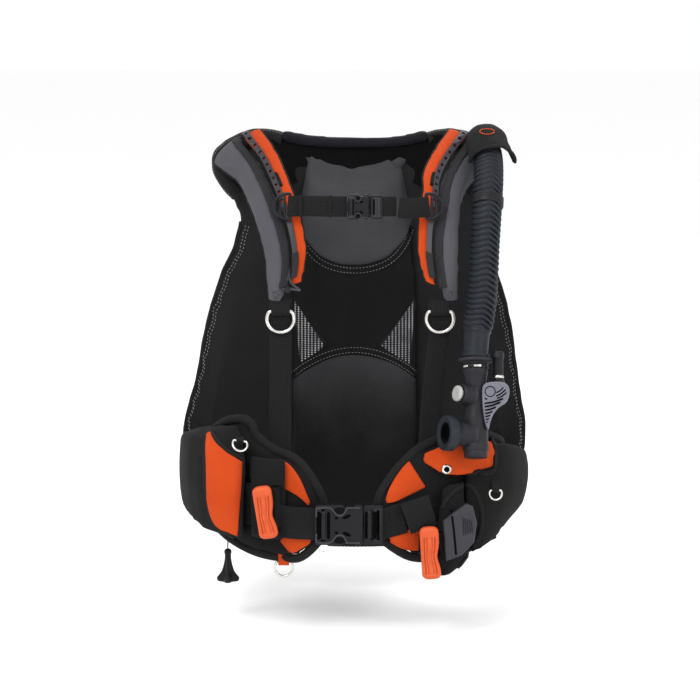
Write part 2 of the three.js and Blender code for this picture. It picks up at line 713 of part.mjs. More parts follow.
const weightHandleRight = () => pullHandle(-108, -174.5, -318, -9);
const weightHandleLeft = () => pullHandle(91, -225, -316, -4);

const smallRing = (radius, wire, at, turn = [0, 0, 0]) =>
  moved(ringShape(radius, wire, radius * 0.55, 16, 6), at, turn);

// ---- dump valve and its pull ----------------------------------------------------------------

const DUMP = { x: -159, y: -196, seat: -214, knobTop: -247 };

const dumpValve = () =>
  moved(turnedRing([[1.6, 0], [8, 0], [10, 3], [10, 9], [12, 10], [12, 14], [1.6, 14]], 16),
    [DUMP.x, DUMP.y, DUMP.seat]);

const dumpCord = () =>
  moved(rod(1, DUMP.seat + 12 - DUMP.knobTop - 2 * GAP, 8), [DUMP.x, DUMP.y, DUMP.knobTop + GAP]);

const dumpKnob = () =>
  moved(turnedPiece([[0, -42], [11, -42], [13, -39], [12.5, -35], [6.5, -31], [5, -20], [4.4, -4], [3, 0],
    [0, 0]], 20), [DUMP.x, DUMP.y, DUMP.knobTop]);

// ---- inflator ------------------------------------------------------------------------------

// Route of the corrugated hose, from the shoulder elbow down to the inflator.
const HOSE_ROUTE = [
  [165, -135.5, 243], [165.6, -147, 236.5], [165.5, -163, 226], [164.5, -180, 211], [163, -193, 195],
  [161.5, -204, 177], [160, -212, 158], [158.5, -219, 138], [157.5, -225, 118], [156.5, -230, 98],
  [155.5, -234, 79], [153, -238, 60], [149.5, -243.5, 39], [147, -249, 19], [146, -253.4, 4.6],
];

const inflatorHose = () => tube(HOSE_ROUTE, HOSE_RADIUS, 12, 22);

function shoulderElbow() {
  const bend = tube([[162, -96, 247], [163, -108, 252], [164.2, -121, 250], [165, -133, 243.5]], 15.5, 12, 6);
  const flange = aimed(rod(18, 7, 16), [162, -91, 243], [0, -0.75, 0.5]);
  return joined(bend, flange);
}

// The fabric cover over the elbow and the top of the hose.
function hoseFlap() {
  const line = smooth([[164, -106, 252], [164.6, -120, 251], [165.6, -134, 243.5], [167, -150, 234]]);
  return bent((u, v, w) => {
    const angle = radians(lerp(-78, 84, u));
    const along = line.getTangent(v);
    const side = new THREE.Vector3(1, 0, 0);
    const up = side.clone().cross(along).multiplyScalar(-1).normalize();
    side.copy(along).cross(up).multiplyScalar(-1).normalize();
    const radius = lerp(21, 24.5, w) + 2 * Math.cos(angle);
    return line.getPoint(v)
      .addScaledVector(up, radius * Math.cos(angle))
      .addScaledVector(side, 1.05 * radius * Math.sin(angle));
  }, 10, 4);
}

// The inflator's own frame: its top at the origin, hanging down its own -Z, mouthpiece to -X.
const INFLATOR = { at: [146, -254, 3], lean: -18.5 };
const onInflator = (geometry) => moved(geometry, INFLATOR.at, [INFLATOR.lean, 0, 0]);

const MOUTH = { at: [0, 0, -93], dir: [-0.9, -0.42, 0] };
const PUSH = { at: [0, -2, -46], dir: [-0.86, -0.5, 0.06], length: 24 };
const POST = { x: 28, z: -11.6 };

const sideArm = () => box(30, 12, 12, [16, 0, -40]);

function inflatorShell() {
  const spine = turnedPiece([[0, -108], [12, -108], [15, -104], [15, -88], [15.5, -84], [15.5, -70],
    [13.5, -64], [13.5, -26], [17, -22], [17, -14], [14, -12], [14, -9], [21, -7], [21, 0], [0, 0]], 18);
  const neck = aimed(rod(14.5, 22, 20), MOUTH.at, MOUTH.dir);
  const pushNeck = aimed(rod(12, PUSH.length - 4, 20), PUSH.at, PUSH.dir);
  const well = moved(rod(8.6, 12, 20), [0, 0, -110]);
  return cut(joined(spine, neck, pushNeck, sideArm()), well,
    aimed(rod(6.6, 12, 20), beyond(PUSH, PUSH.length - 14), PUSH.dir));
}

const inflatorBody = () => onInflator(inflatorShell());

// A point on an axis, some way past its start.
const beyond = ({ at, dir }, distance) =>
  vec(at).addScaledVector(vec(dir).normalize(), distance).toArray();

function mouthpiece() {
  const bell = turnedRing([[8, 0], [15, 0], [16, 5], [20.5, 8], [21.5, 10], [21.5, 20], [20, 21], [13.5, 21],
    [12.5, 19], [12.5, 12], [8, 10]], 20);
  return onInflator(aimed(bell, beyond(MOUTH, 22 + GAP), MOUTH.dir));
}

const inflateButton = () =>
  onInflator(aimed(turnedPiece([[0, 0], [6, 0], [6, 7], [9.5, 7.8], [9.5, 11], [8, 12.4], [0, 12.8]], 24),
    beyond(PUSH, PUSH.length - 8), PUSH.dir));

const deflateButton = () =>
  onInflator(turnedPiece([[0, -121], [13, -121], [14.5, -119.5], [14.5, -113.5], [8, -112.5], [8, -103.5],
    [0, -103.5]], 24));

function connectPost() {
  const post = turnedPiece([[0, -22], [6, -22], [6, -12], [4, -10], [4, 2], [5.6, 4], [5.6, 8], [3.6, 10],
    [3.6, 16], [4.6, 17], [4.6, 21], [0, 21]], 14);
  return moved(post, [POST.x, 0, POST.z]);
}

// The leaf-shaped cover on the outer side of the inflator.
function valveCover() {
  const outline = [[-10, -2], [-4, 4], [8, 6], [18, 5], [23, -3], [22, -14], [11, -23], [4, -32], [-1, -44],
    [-4, -52], [-9, -34]];
  const leaf = moved(plate(outline, -17, 26, { bevel: 2 }), [17.5, 0, -36]);
  return onInflator(clearOf(leaf, [inflatorShell(), connectPost()]));
}

// ---- everything, added in order from the back to the front ------------------------------------

add("backplate", backplate(), BLACK_PLASTIC);
add("tank_band", tankBand(), BLACK_WEBBING);
add("cam_buckle_frame", camFrame(), BLACK_PLASTIC);
add("cam_buckle_pin", camPin(), STEEL);
add("cam_buckle_lever", camLever(), BLACK_PLASTIC);

const collarRoll = add("collar_roll", collar(), BLACK_NYLON);
const elbow = add("shoulder_elbow", shoulderElbow(), BLACK_PLASTIC);
const shoulders = [];
for (const [side, word] of [[WEARER_RIGHT, "right"], [WEARER_LEFT, "left"]]) {
  const cushion = clearOf(shoulderPad(side), [collarRoll, elbow], 7 * GAP);
  shoulders.push(add(`shoulder_pad_${word}`, cushion, GREY_NYLON));
  shoulders.push(add(`shoulder_trim_${word}`, clearOf(shoulderTrim(side), [collarRoll]), ORANGE_NYLON));
  add(`shoulder_rail_${word}`, shoulderRail(side), GREY_PLASTIC);
  add(`shoulder_webbing_${word}`, shoulderWebbing(side), BLACK_WEBBING);
  add(`shoulder_ring_${word}`, shoulderRing(side), STEEL);
  add(`chest_slider_${word}`, chestSlider(side), BLACK_PLASTIC);
}
const lobeRight = add("waist_lobe_right", waistLobe(WEARER_RIGHT), BLACK_NYLON);
const lobeLeft = add("waist_lobe_left", waistLobe(WEARER_LEFT), BLACK_NYLON);
add("air_cell", clearOf(airCell(), [collarRoll, elbow, lobeRight, lobeLeft, ...shoulders]), BLACK_NYLON);
add("back_pad", backPad(), GREY_NYLON);

add("chest_strap_right", chestStrapRight(), BLACK_WEBBING);
add("chest_strap_left", chestStrapLeft(), BLACK_WEBBING);
add("chest_buckle_socket", socketAt(CHEST_BUCKLE, CHEST_BUCKLE_AT), BLACK_PLASTIC);
add("chest_buckle_plug", plugAt(CHEST_BUCKLE, CHEST_BUCKLE_AT, chestPlug()), BLACK_PLASTIC);
add("chest_strap_tongue", chestTongue(), BLACK_WEBBING);

add("waist_belt_right", waistBeltRight(), BLACK_WEBBING);
add("waist_belt_left", waistBeltLeft(), BLACK_WEBBING);
add("waist_buckle_socket", socketAt(WAIST_BUCKLE, WAIST_BUCKLE_AT), BLACK_PLASTIC);
add("waist_buckle_plug", plugAt(WAIST_BUCKLE, WAIST_BUCKLE_AT, bucklePlug(WAIST_BUCKLE)), BLACK_PLASTIC);
add("waist_belt_tongue", waistBeltTongue(), BLACK_WEBBING);
for (const [side, word] of [[1, "upper"], [-1, "lower"]]) {
  add(`waist_prong_${word}`, plugAt(WAIST_BUCKLE, WAIST_BUCKLE_AT, buckleProng(WAIST_BUCKLE, side)),
    BLACK_PLASTIC);
}

const channelRight = weightChannel(WEARER_RIGHT);
const channelLeft = weightChannel(WEARER_LEFT);
add("weight_pouch_right", weightPouch(WEARER_RIGHT), BLACK_NYLON);
add("weight_handle_right", weightHandleRight(), ORANGE_RUBBER);
add("weight_pouch_left", weightPouch(WEARER_LEFT), BLACK_NYLON);
add("weight_handle_left", weightHandleLeft(), ORANGE_RUBBER);
const pocketRight = clearOf(pocket(WEARER_RIGHT), [lobeRight]);
add("pocket_right", cut(pocketRight, channelRight), BLACK_NYLON);
add("pocket_panel", pocketPanel(), ORANGE_NYLON);
const flap = add("pocket_flap", pocketFlap(), ORANGE_NYLON);
const pocketLeft = clearOf(pocket(WEARER_LEFT), [lobeLeft, flap]);
add("pocket_left", cut(pocketLeft, channelLeft), BLACK_NYLON);
add("weight_sleeve_right", cut(clearOf(weightSleeveRight(), [lobeRight, pocketRight]), channelRight),
  BLACK_NYLON);
const housing = add("latch_housing", latchHousing(), GREY_PLASTIC);
add("weight_sleeve_left", cut(clearOf(weightSleeveLeft(), [lobeLeft, pocketLeft, housing]), channelLeft),
  BLACK_NYLON);

add("pocket_ring_right", smallRing(9, 1.5, [-139, -281, -93], [-40, 0, 15]), STEEL);
add("pocket_ring_left", smallRing(7.5, 1.3, [171, -277, -155]), STEEL);
add("hip_ring", smallRing(11, 1.6, [-87, -274, -246]), STEEL);
add("dump_valve", dumpValve(), BLACK_PLASTIC);
add("dump_pull_cord", dumpCord(), BLACK_WEBBING);
add("dump_pull_knob", dumpKnob(), BLACK_PLASTIC);

add("inflator_hose", inflatorHose(), HOSE_RUBBER);
add("hose_flap", hoseFlap(), BLACK_NYLON);
add("inflator_body", inflatorBody(), BLACK_PLASTIC);
add("mouthpiece", mouthpiece(), BLACK_PLASTIC);
add("inflate_button", inflateButton(), GREY_PLASTIC);
add("deflate_button", deflateButton(), BLACK_PLASTIC);
add("quick_connect_post", onInflator(connectPost()), STEEL);
add("valve_cover", valveCover(), GREY_PLASTIC);

export default vest;
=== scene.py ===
"""Looks of the jacket buoyancy vest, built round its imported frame. Metres, +X the wearer's left, +Z up."""

import math

import bmesh
import bpy
import numpy as np
from mathutils import Matrix, Vector, noise
from mathutils.bvhtree import BVHTree


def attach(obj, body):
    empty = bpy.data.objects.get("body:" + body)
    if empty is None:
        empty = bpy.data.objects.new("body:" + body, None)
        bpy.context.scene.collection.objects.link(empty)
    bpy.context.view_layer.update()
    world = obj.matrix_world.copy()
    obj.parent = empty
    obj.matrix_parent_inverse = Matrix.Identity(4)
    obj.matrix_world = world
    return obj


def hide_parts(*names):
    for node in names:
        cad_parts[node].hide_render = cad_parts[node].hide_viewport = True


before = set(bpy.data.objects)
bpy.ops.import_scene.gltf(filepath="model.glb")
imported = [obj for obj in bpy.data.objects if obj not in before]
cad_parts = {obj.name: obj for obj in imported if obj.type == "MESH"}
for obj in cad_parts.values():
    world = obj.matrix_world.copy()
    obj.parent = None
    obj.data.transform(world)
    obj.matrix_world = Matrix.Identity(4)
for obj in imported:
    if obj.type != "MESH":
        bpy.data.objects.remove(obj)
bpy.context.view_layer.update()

MM = 0.001
RIGHT, LEFT = -1, 1  # the wearer's sides along X
WORD = {RIGHT: "right", LEFT: "left"}

# ---- camera, light and floor -----------------------------------------------------------------

AIM = Vector((-0.006, -0.165, 0.0))
DISTANCE = 3.2
ELEVATION = math.radians(9)
LENS = 131.7
FLOOR_Z = -0.34
WORLD_STRENGTH = 1.0


def make_camera():
    data = bpy.data.cameras.new("camera")
    data.lens = LENS
    camera = bpy.data.objects.new("camera", data)
    back = Vector((0, -math.cos(ELEVATION), math.sin(ELEVATION)))
    camera.location = AIM + back * DISTANCE
    camera.rotation_euler = (-back).to_track_quat("-Z", "Y").to_euler()
    bpy.context.scene.collection.objects.link(camera)
    bpy.context.scene.camera = camera


def make_light(name, place, size, power):
    data = bpy.data.lights.new(name, "AREA")
    data.size = size
    data.energy = power
    light = bpy.data.objects.new(name, data)
    light.location = place
    light.rotation_euler = (AIM - Vector(place)).to_track_quat("-Z", "Y").to_euler()
    bpy.context.scene.collection.objects.link(light)


def make_world():
    world = bpy.data.worlds.new("studio")
    world.use_nodes = True
    background = world.node_tree.nodes["Background"]
    background.inputs["Color"].default_value = (1, 1, 1, 1)
    background.inputs["Strength"].default_value = WORLD_STRENGTH
    bpy.context.scene.world = world
    bpy.context.scene.view_settings.view_transform = "Standard"


make_camera()
make_world()
make_light("key", (-1.1, -2.4, 2.2), 1.2, 60)
make_light("fill", (1.9, -2.0, 0.9), 1.6, 22)
make_light("rim", (0.3, 1.6, 2.0), 1.4, 12)
make_light("top", (0.0, -0.4, 2.4), 1.2, 9)


# ---- finishes --------------------------------------------------------------------------------

CLOTH_SHEEN = 0.02


class Value:
    """A shader socket that takes part in Python arithmetic."""

    def __init__(self, paint, socket):
        self.paint = paint
        self.socket = socket

    def math(self, operation, *others):
        return self.paint.node("ShaderNodeMath", {"operation": operation}, (self, *others))

    def __add__(self, other):
        return self.math("ADD", other)

    def __sub__(self, other):
        return self.math("SUBTRACT", other)

    def __rsub__(self, other):
        return self.paint.node("ShaderNodeMath", {"operation": "SUBTRACT"}, (other, self))

    def __mul__(self, other):
        return self.math("MULTIPLY", other)

    def __truediv__(self, other):
        return self.math("DIVIDE", other)

    def __gt__(self, other):
        return self.math("GREATER_THAN", other)

    def __abs__(self):
        return self.math("ABSOLUTE")

    __radd__ = __add__
    __rmul__ = __mul__


class Paint:
    """A procedural material and the record's slot that it belongs to."""

    def __init__(self, name, slot, roughness, metallic=0.0, sheen=0.0, gloss=0.5):
        self.slot = slot
        self.material = bpy.data.materials.new(name)
        self.material.use_nodes = True
        self.tree = self.material.node_tree
        self.tree.nodes.clear()
        self.shader = self.tree.nodes.new("ShaderNodeBsdfPrincipled")
        output = self.tree.nodes.new("ShaderNodeOutputMaterial")
        self.tree.links.new(self.shader.outputs["BSDF"], output.inputs["Surface"])
        self.shader.inputs["Roughness"].default_value = roughness
        self.shader.inputs["Metallic"].default_value = metallic
        self.shader.inputs["Sheen Weight"].default_value = sheen
        self.shader.inputs["Specular IOR Level"].default_value = gloss

    def node(self, kind, settings=None, inputs=(), out=0):
        made = self.tree.nodes.new(kind)
        for key, value in (settings or {}).items():
            setattr(made, key, value)
        pairs = inputs.items() if isinstance(inputs, dict) else enumerate(inputs)
        for key, value in pairs:
            if isinstance(value, Value):
                self.tree.links.new(value.socket, made.inputs[key])
            elif value is not None:
                made.inputs[key].default_value = value
        return Value(self, made.outputs[out])

    def feed(self, socket, value):
        self.tree.links.new(value.socket, self.shader.inputs[socket])

    def place(self, out="Object"):
        return self.node("ShaderNodeTexCoord", out=out)

    def split(self, vector):
        return [self.node("ShaderNodeSeparateXYZ", None, (vector,), out=k) for k in range(3)]

    def noise(self, vector, scale, detail=2.0):
        return self.node("ShaderNodeTexNoise", None, {"Vector": vector, "Scale": scale, "Detail": detail})

    def stretched(self, vector, factors):
        settings = {"operation": "MULTIPLY"}
        return self.node("ShaderNodeVectorMath", settings, {0: vector, 1: factors})

    def mix(self, share, first, second):
        def ink(c):
            return c if isinstance(c, Value) else (*c, 1.0)
        return self.node("ShaderNodeMix", {"data_type": "RGBA"},
                         {0: share, 6: ink(first), 7: ink(second)}, out=2)

    def bump(self, *layers):
        """Bumps laid over each other, each a height and its depth in metres."""
        normal = None
        for height, depth in layers:
            normal = self.node("ShaderNodeBump", None, {"Height": height, "Distance": depth,
                                                        "Normal": normal})
        self.feed("Normal", normal)


def woven_ripple(across, along, pitch):
    """The over-and-under of a plain weave, from -1 to 1."""
    turn = 2 * math.pi / pitch
    return (across * turn).math("SINE") * (along * turn).math("SINE")


def nylon(name, slot, light, dark, pitch=1.1 * MM, roughness=0.78, rib=0.12, darker_below=None, gloss=0.1):
    """Woven nylon: plain weave, cloudy shade, soft crumples; darker_below darkens it more and more from the
    higher of two heights down to the lower.
    """
    paint = Paint(name, slot, roughness, sheen=CLOTH_SHEEN, gloss=gloss)
    spot = paint.place()
    x, y, z = paint.split(spot)
    weave = woven_ripple(x + y * 0.8, z + y * 0.4, pitch)
    cloud = paint.noise(spot, 14.0, 3.0)
    grain = paint.noise(spot, 1400.0, 1.0)
    shade = cloud * 0.7 + grain * 0.5 + weave * rib - 0.1
    if darker_below:
        low, high = darker_below
        shade = shade + (1 - paint.node("ShaderNodeMapRange", {"clamp": True},
                                        {"Value": z, "From Min": low, "From Max": high})) * 0.8
    paint.feed("Base Color", paint.mix(shade, light, dark))
    paint.feed("Roughness", cloud * 0.16 + (roughness - 0.08))
    crumple = paint.noise(paint.stretched(spot, (1.0, 1.0, 0.6)), 42.0, 3.0)
    paint.bump((weave, 0.16 * MM), (grain, 0.12 * MM), (crumple, 1.1 * MM))
    return paint


def webbing(name, slot, light, dark, pitch=1.7 * MM):
    """Flat woven webbing, its ribs across the strap, from the piece's own UV in metres."""
    paint = Paint(name, slot, 0.7, sheen=CLOTH_SHEEN, gloss=0.12)
    across, along, _ = paint.split(paint.place("UV"))
    turn = 2 * math.pi / pitch
    rib = (along * turn + (across * turn * 0.9).math("SINE") * 1.3).math("SINE")
    cord = (across * (turn * 0.45)).math("SINE")
    grain = paint.noise(paint.place(), 900.0, 2.0)
    paint.feed("Base Color", paint.mix(rib * 0.22 + cord * 0.12 + grain * 0.5 + 0.15, light, dark))
    paint.feed("Roughness", grain * 0.2 + 0.6)
    paint.bump((rib, 0.22 * MM), (cord, 0.12 * MM), (grain, 0.1 * MM))
    return paint


def spacer_mesh(name, slot, light, dark, pitch=4.3 * MM):
    """Open mesh: upright rows of light loops on a dark ground, brightest in patches."""
    paint = Paint(name, slot, 0.55, gloss=0.2)
    spot = paint.place()
    x, _, z = paint.split(spot)
    turn = 2 * math.pi / pitch
    row = (x * turn).math("SINE")
    loop = ((row * 1.1 + (z * (turn * 1.5)).math("SINE") * 0.75) > 0.72)
    patch_light = paint.noise(spot, 60.0, 2.0)
    grain = paint.noise(spot, 700.0, 1.0)
    paint.feed("Base Color", paint.mix(loop * (patch_light * 1.1 + grain * 0.3 - 0.1), dark, light))
    paint.feed("Roughness", 0.7 - loop * 0.25)
    paint.bump((loop, 0.4 * MM), (grain, 0.2 * MM))
    return paint


def moulded(name, slot, light, dark, roughness=0.42, texture=0.05, gloss=0.16):
    """Moulded plastic or rubber: fine spark texture, uneven gloss and lighter worn corners."""
    paint = Paint(name, slot, roughness, gloss=gloss)
    spot = paint.place()
    cloud = paint.noise(spot, 60.0, 3.0)
    spark = paint.noise(spot, 1800.0, 1.0)
    corner = paint.node("ShaderNodeNewGeometry", out="Pointiness")
    wear = paint.node("ShaderNodeMapRange", {"clamp": True}, {"Value": corner, "From Min": 0.53,
                                                              "From Max": 0.62})
    shade = 1 - (cloud * 0.4 + wear * 0.75)
    paint.feed("Base Color", paint.mix(shade, light, dark))
    paint.feed("Roughness", cloud * 0.2 + (roughness - 0.1))
    paint.bump((spark, texture * MM), (cloud, 0.08 * MM))
    return paint


def metal(name, slot, light, dark):
    """Polished wire with fine drawing lines and a few dull patches."""
    paint = Paint(name, slot, 0.2, metallic=1.0)
    spot = paint.place()
    cloud = paint.noise(spot, 180.0, 3.0)
    line = paint.noise(paint.stretched(spot, (1.0, 1.0, 9.0)), 260.0, 2.0)
    paint.feed("Base Color", paint.mix(cloud, light, dark))
    paint.feed("Roughness", cloud * 0.2 + line * 0.14 + 0.06)
    paint.bump((line, 0.03 * MM))
    return paint


def twisted_thread(name, slot, light, dark):
    paint = Paint(name, slot, 0.6, gloss=0.2)
    spot = paint.place()
    x, y, z = paint.split(spot)
    twist = ((x + y + z) * 5200.0).math("SINE")
    fuzz = paint.noise(spot, 1500.0, 1.0)
    paint.feed("Base Color", paint.mix(twist * 0.3 + fuzz * 0.7, light, dark))
    paint.feed("Roughness", fuzz * 0.3 + 0.45)
    paint.bump((twist, 0.08 * MM))
    return paint


def studio_floor():
    paint = Paint("studio_floor", "stage", 0.9)
    dust = paint.noise(paint.place(), 3.0, 4.0)
    paint.feed("Base Color", paint.mix(dust, (0.985, 0.985, 0.985), (0.97, 0.97, 0.97)))
    paint.feed("Roughness", dust * 0.1 + 0.85)
    paint.bump((dust, 0.2 * MM))
    return paint


BLACK_NYLON = nylon("black_nylon", "black_nylon", (0.0100, 0.0100, 0.0108), (0.0035, 0.0035, 0.0040))
WING_NYLON = nylon("wing_nylon", "black_nylon", (0.0110, 0.0110, 0.0118), (0.0040, 0.0040, 0.0045),
                   roughness=0.6,
                   gloss=0.16)
GREY_NYLON = nylon("grey_nylon", "grey_nylon", (0.094, 0.091, 0.103), (0.040, 0.039, 0.045), pitch=1.6 * MM,
                   rib=0.2)
PANEL_NYLON = nylon("panel_nylon", "grey_nylon", (0.062, 0.061, 0.067), (0.026, 0.026, 0.029), pitch=1.6 * MM,
                    rib=0.2)
LUMBAR_NYLON = nylon("lumbar_nylon", "grey_nylon", (0.046, 0.046, 0.049), (0.0060, 0.0060, 0.0066),
                     pitch=1.8 * MM, darker_below=(-0.2, -0.03))
CHARCOAL_NYLON = nylon("charcoal_nylon", "black_nylon", (0.028, 0.028, 0.030), (0.010, 0.010, 0.011),
                       pitch=2.0 * MM, rib=0.3)
COLLAR_NYLON = nylon("collar_nylon", "black_nylon", (0.0090, 0.0086, 0.0150), (0.0035, 0.0035, 0.0060),
                     roughness=0.6, gloss=0.12)
ORANGE_NYLON = nylon("orange_nylon", "orange_nylon", (0.600, 0.070, 0.0100), (0.330, 0.030, 0.0035), rib=0.05)
BINDING = nylon("binding_tape", "black_nylon", (0.0150, 0.0147, 0.0145), (0.0058, 0.0056, 0.0056),
                pitch=1.3 * MM, rib=0.3)
WEB_BLACK = webbing("black_webbing", "black_webbing", (0.0110, 0.0110, 0.0116), (0.0040, 0.0040, 0.0042))
MESH_GREY = spacer_mesh("reflective_mesh", "grey_nylon", (0.50, 0.50, 0.53), (0.008, 0.008, 0.008))
PLASTIC = moulded("black_plastic", "black_plastic", (0.020, 0.020, 0.023), (0.0040, 0.0040, 0.0048))
BODY_MOULD = moulded("inflator_plastic", "black_plastic", (0.030, 0.030, 0.036), (0.0080, 0.0080, 0.0100),
                     roughness=0.5)
GREY_MOULD = moulded("grey_plastic", "grey_plastic", (0.062, 0.062, 0.072), (0.022, 0.022, 0.027))
PALE_MOULD = moulded("pale_plastic", "grey_plastic", (0.46, 0.46, 0.44), (0.27, 0.27, 0.265), roughness=0.35)
LEAF_MOULD = moulded("leaf_plastic", "grey_plastic", (0.21, 0.21, 0.245), (0.10, 0.10, 0.125), roughness=0.4)
GRIP_RUBBER = moulded("orange_rubber", "orange_rubber", (0.740, 0.122, 0.0300), (0.440, 0.056, 0.0100),
                      roughness=0.5, texture=0.09, gloss=0.3)
HOSE_RUBBER = moulded("hose_rubber", "hose_rubber", (0.030, 0.035, 0.046), (0.0060, 0.0072, 0.0100),
                      roughness=0.46)
# Painted shade: near-black sheets laid in slots, vents, seams, holes and the mouthpiece's bore, where only
# shade falls.
PAINTED_SHADE_BLACK = nylon("painted_shade_black", "black_nylon", (0.0016, 0.0016, 0.0018), (0.0008, 0.0008, 0.0009), gloss=0.02)
# Painted shade: a darker copy of the black nylon for the inside of the yoke and the buckle's spring-arm
# windows.
PAINTED_SHADE_NYLON = nylon("painted_shade_nylon", "black_nylon", (0.0042, 0.0042, 0.0048), (0.0016, 0.0016, 0.0018),
                   gloss=0.05)
STEEL = metal("polished_steel", "steel", (0.78, 0.76, 0.72), (0.42, 0.41, 0.39))
THREAD_PALE = twisted_thread("pale_thread", "black_nylon", (0.30, 0.30, 0.285), (0.12, 0.12, 0.115))
THREAD_DARK = twisted_thread("dark_thread", "black_nylon", (0.0200, 0.0200, 0.0210), (0.0070, 0.0070, 0.0075))
THREAD_ORANGE = twisted_thread("orange_thread", "orange_nylon", (0.72, 0.10, 0.014), (0.42, 0.05, 0.006))

# ---- lines and meshes ------------------------------------------------------------------------


def mm(points):
    """A list of points in millimetres as an array in metres."""
    return np.array(points, float) * MM


def spline(points, t):
    """A point of the smooth curve through points, at t from 0 to 1."""
    points = np.asarray(points, float)
    last = len(points) - 1
    k = min(int(t * last), last - 1)
    w = t * last - k
    before = points[k - 1] if k else 2 * points[0] - points[1]
    after = points[k + 2] if k + 2 <= last else 2 * points[last] - points[last - 1]
    p, q = points[k], points[k + 1]
    return 0.5 * (2 * p + (q - before) * w + (2 * before - 5 * p + 4 * q - after) * w * w
                  + (3 * p - before - 3 * q + after) * w ** 3)


def smooth_line(points, count, closed=False):
    """Evenly spaced points on a smooth line through the given points, in metres."""
    points = np.array(points, float)
    if closed:
        points = np.concatenate([points[-3:], points, points[:3]])
    spans = len(points) - 1
    fine = np.array([spline(points, k / (12 * spans)) for k in range(12 * spans + 1)])
    if closed:
        fine = fine[36:-24]
    reach = np.concatenate([[0], np.cumsum(np.linalg.norm(np.diff(fine, axis=0), axis=1))])
    stops = np.linspace(0, reach[-1], count + 1 if closed else count)
    if closed:
        stops = stops[:-1]
    return np.stack([np.interp(stops, reach, fine[:, k]) for k in range(fine.shape[1])], axis=1)


def unit(vectors):
    vectors = np.array(vectors, float)
    return vectors / np.maximum(np.linalg.norm(vectors, axis=-1, keepdims=True), 1e-12)


def tangents(path, closed=False):
    if closed:
        return unit(np.roll(path, -1, axis=0) - np.roll(path, 1, axis=0))
    return unit(np.gradient(path, axis=0))


def line_length(path):
    return float(np.linalg.norm(np.diff(path, axis=0), axis=1).sum())


def build(name, points, faces, paint, body="vest", uv=None, sharp=None):
    """A named mesh piece that rides on a body; uv gives a pair for each point."""
    mesh = bpy.data.meshes.new(name)
    mesh.from_pydata([tuple(p) for p in points], [], [tuple(f) for f in faces])
    mesh.update()
    if uv is not None:
        layer = mesh.uv_layers.new(name="UVMap")
        index = np.empty(len(mesh.loops), int)
        mesh.loops.foreach_get("vertex_index", index)
        layer.data.foreach_set("uv", np.array(uv, float)[index].ravel())
    return finished(name, mesh, paint, body, sharp)


def finished(name, mesh, paint, body="vest", sharp=None):
    tidy = bmesh.new()
    tidy.from_mesh(mesh)
    bmesh.ops.remove_doubles(tidy, verts=tidy.verts, dist=1e-6)
    bmesh.ops.recalc_face_normals(tidy, faces=tidy.faces)
    tidy.to_mesh(mesh)
    tidy.free()
    mesh.polygons.foreach_set("use_smooth", [True] * len(mesh.polygons))
    if sharp is not None:
        mesh.set_sharp_from_angle(angle=math.radians(sharp))
    mesh.materials.clear()
    mesh.materials.append(paint.material)
    piece = bpy.data.objects.new(name, mesh)
    bpy.context.scene.collection.objects.link(piece)
    if body:
        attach(piece, body)
    return piece


def loft_faces(rings, around, closed_along):
    faces = []
    for i in range(rings if closed_along else rings - 1):
        a, b = i * around, ((i + 1) % rings) * around
        for k in range(around):
            n = (k + 1) % around
            faces.append((a + k, a + n, b + n, b + k))
    if not closed_along:
        faces.append(tuple(range(around))[::-1])
        faces.append(tuple((rings - 1) * around + k for k in range(around)))
    return faces


def loft(name, rings, paint, body="vest", closed=False, uv=None, sharp=None):
    """A closed skin over rings of points."""
    rings = np.array(rings, float)
    count, around, _ = rings.shape
    return build(name, rings.reshape(-1, 3), loft_faces(count, around, closed), paint, body, uv, sharp)


def strap_rings(path, wide, width, thick, closed=False):
    """Rounded flat sections along a path; wide is one direction or one for each point."""
    along = tangents(path, closed)
    wide = np.broadcast_to(np.array(wide, float), path.shape)
    across = unit(wide - along * (wide * along).sum(axis=1, keepdims=True))
    up = np.cross(along, across)
    half = width / 2
    edge = min(thick / 2, half * 0.3)
    profile = [(-half, 0), (-half + edge, thick / 2), (-half / 2, thick / 2), (0, thick / 2),
               (half / 2, thick / 2), (half - edge, thick / 2), (half, 0), (half - edge, -thick / 2),
               (0, -thick / 2), (-half + edge, -thick / 2)]
    rings = np.stack([path + across * a + up * b for a, b in profile], axis=1)
    run = np.concatenate([[0], np.cumsum(np.linalg.norm(np.diff(path, axis=0), axis=1))])
    uv = np.stack([np.stack([np.full(len(path), a), run], axis=1) for a, _ in profile], axis=1).reshape(-1, 2)
    return rings, uv


def strap(name, points, width, thick, wide=(0, 0, 1), paint=None, body="vest", count=60):
    path = smooth_line(points, count)
    rings, uv = strap_rings(path, wide, width, thick)
    return loft(name, rings, paint or WEB_BLACK, body, uv=uv, sharp=50)


def round_rings(path, radius, sides=12, closed=False, up=(0.13, -0.2, 0.97), flat=1.0):
    """Round sections along a path; radius is one value or one for each point, flat squashes them."""
    along = tangents(path, closed)
    up = np.broadcast_to(np.array(up, float), path.shape)
    side = unit(np.cross(up, along))
    over = np.cross(along, side)
    radius = np.broadcast_to(np.array(radius, float), (len(path),))[:, None]
    turns = 2 * math.pi * np.arange(sides) / sides
    return np.stack([path + radius * (side * math.cos(a) + over * math.sin(a) * flat) for a in turns], axis=1)


def tube(name, points, radius, paint, body="vest", sides=10, count=60, closed=False, flat=1.0):
    path = smooth_line(points, count, closed)
    return loft(name, round_rings(path, radius, sides, closed, flat=flat), paint, body, closed)


def spun(name, profile, at, direction, paint, body="vest", sides=48, sharp=35):
    """A turned piece: pairs of radius and height in metres along a direction from a point."""
    profile = np.array(profile, float)
    axis = Vector(direction).normalized()
    turn = Vector((0, 0, 1)).rotation_difference(axis).to_matrix()
    rings = []
    for radius, height in profile:
        ring = []
        for k in range(sides):
            a = 2 * math.pi * k / sides
            local = Vector((max(radius, 1e-7) * math.cos(a), max(radius, 1e-7) * math.sin(a), height))
            ring.append(tuple(turn @ local + Vector(at)))
        rings.append(ring)
    return loft(name, rings, paint, body, sharp=sharp)


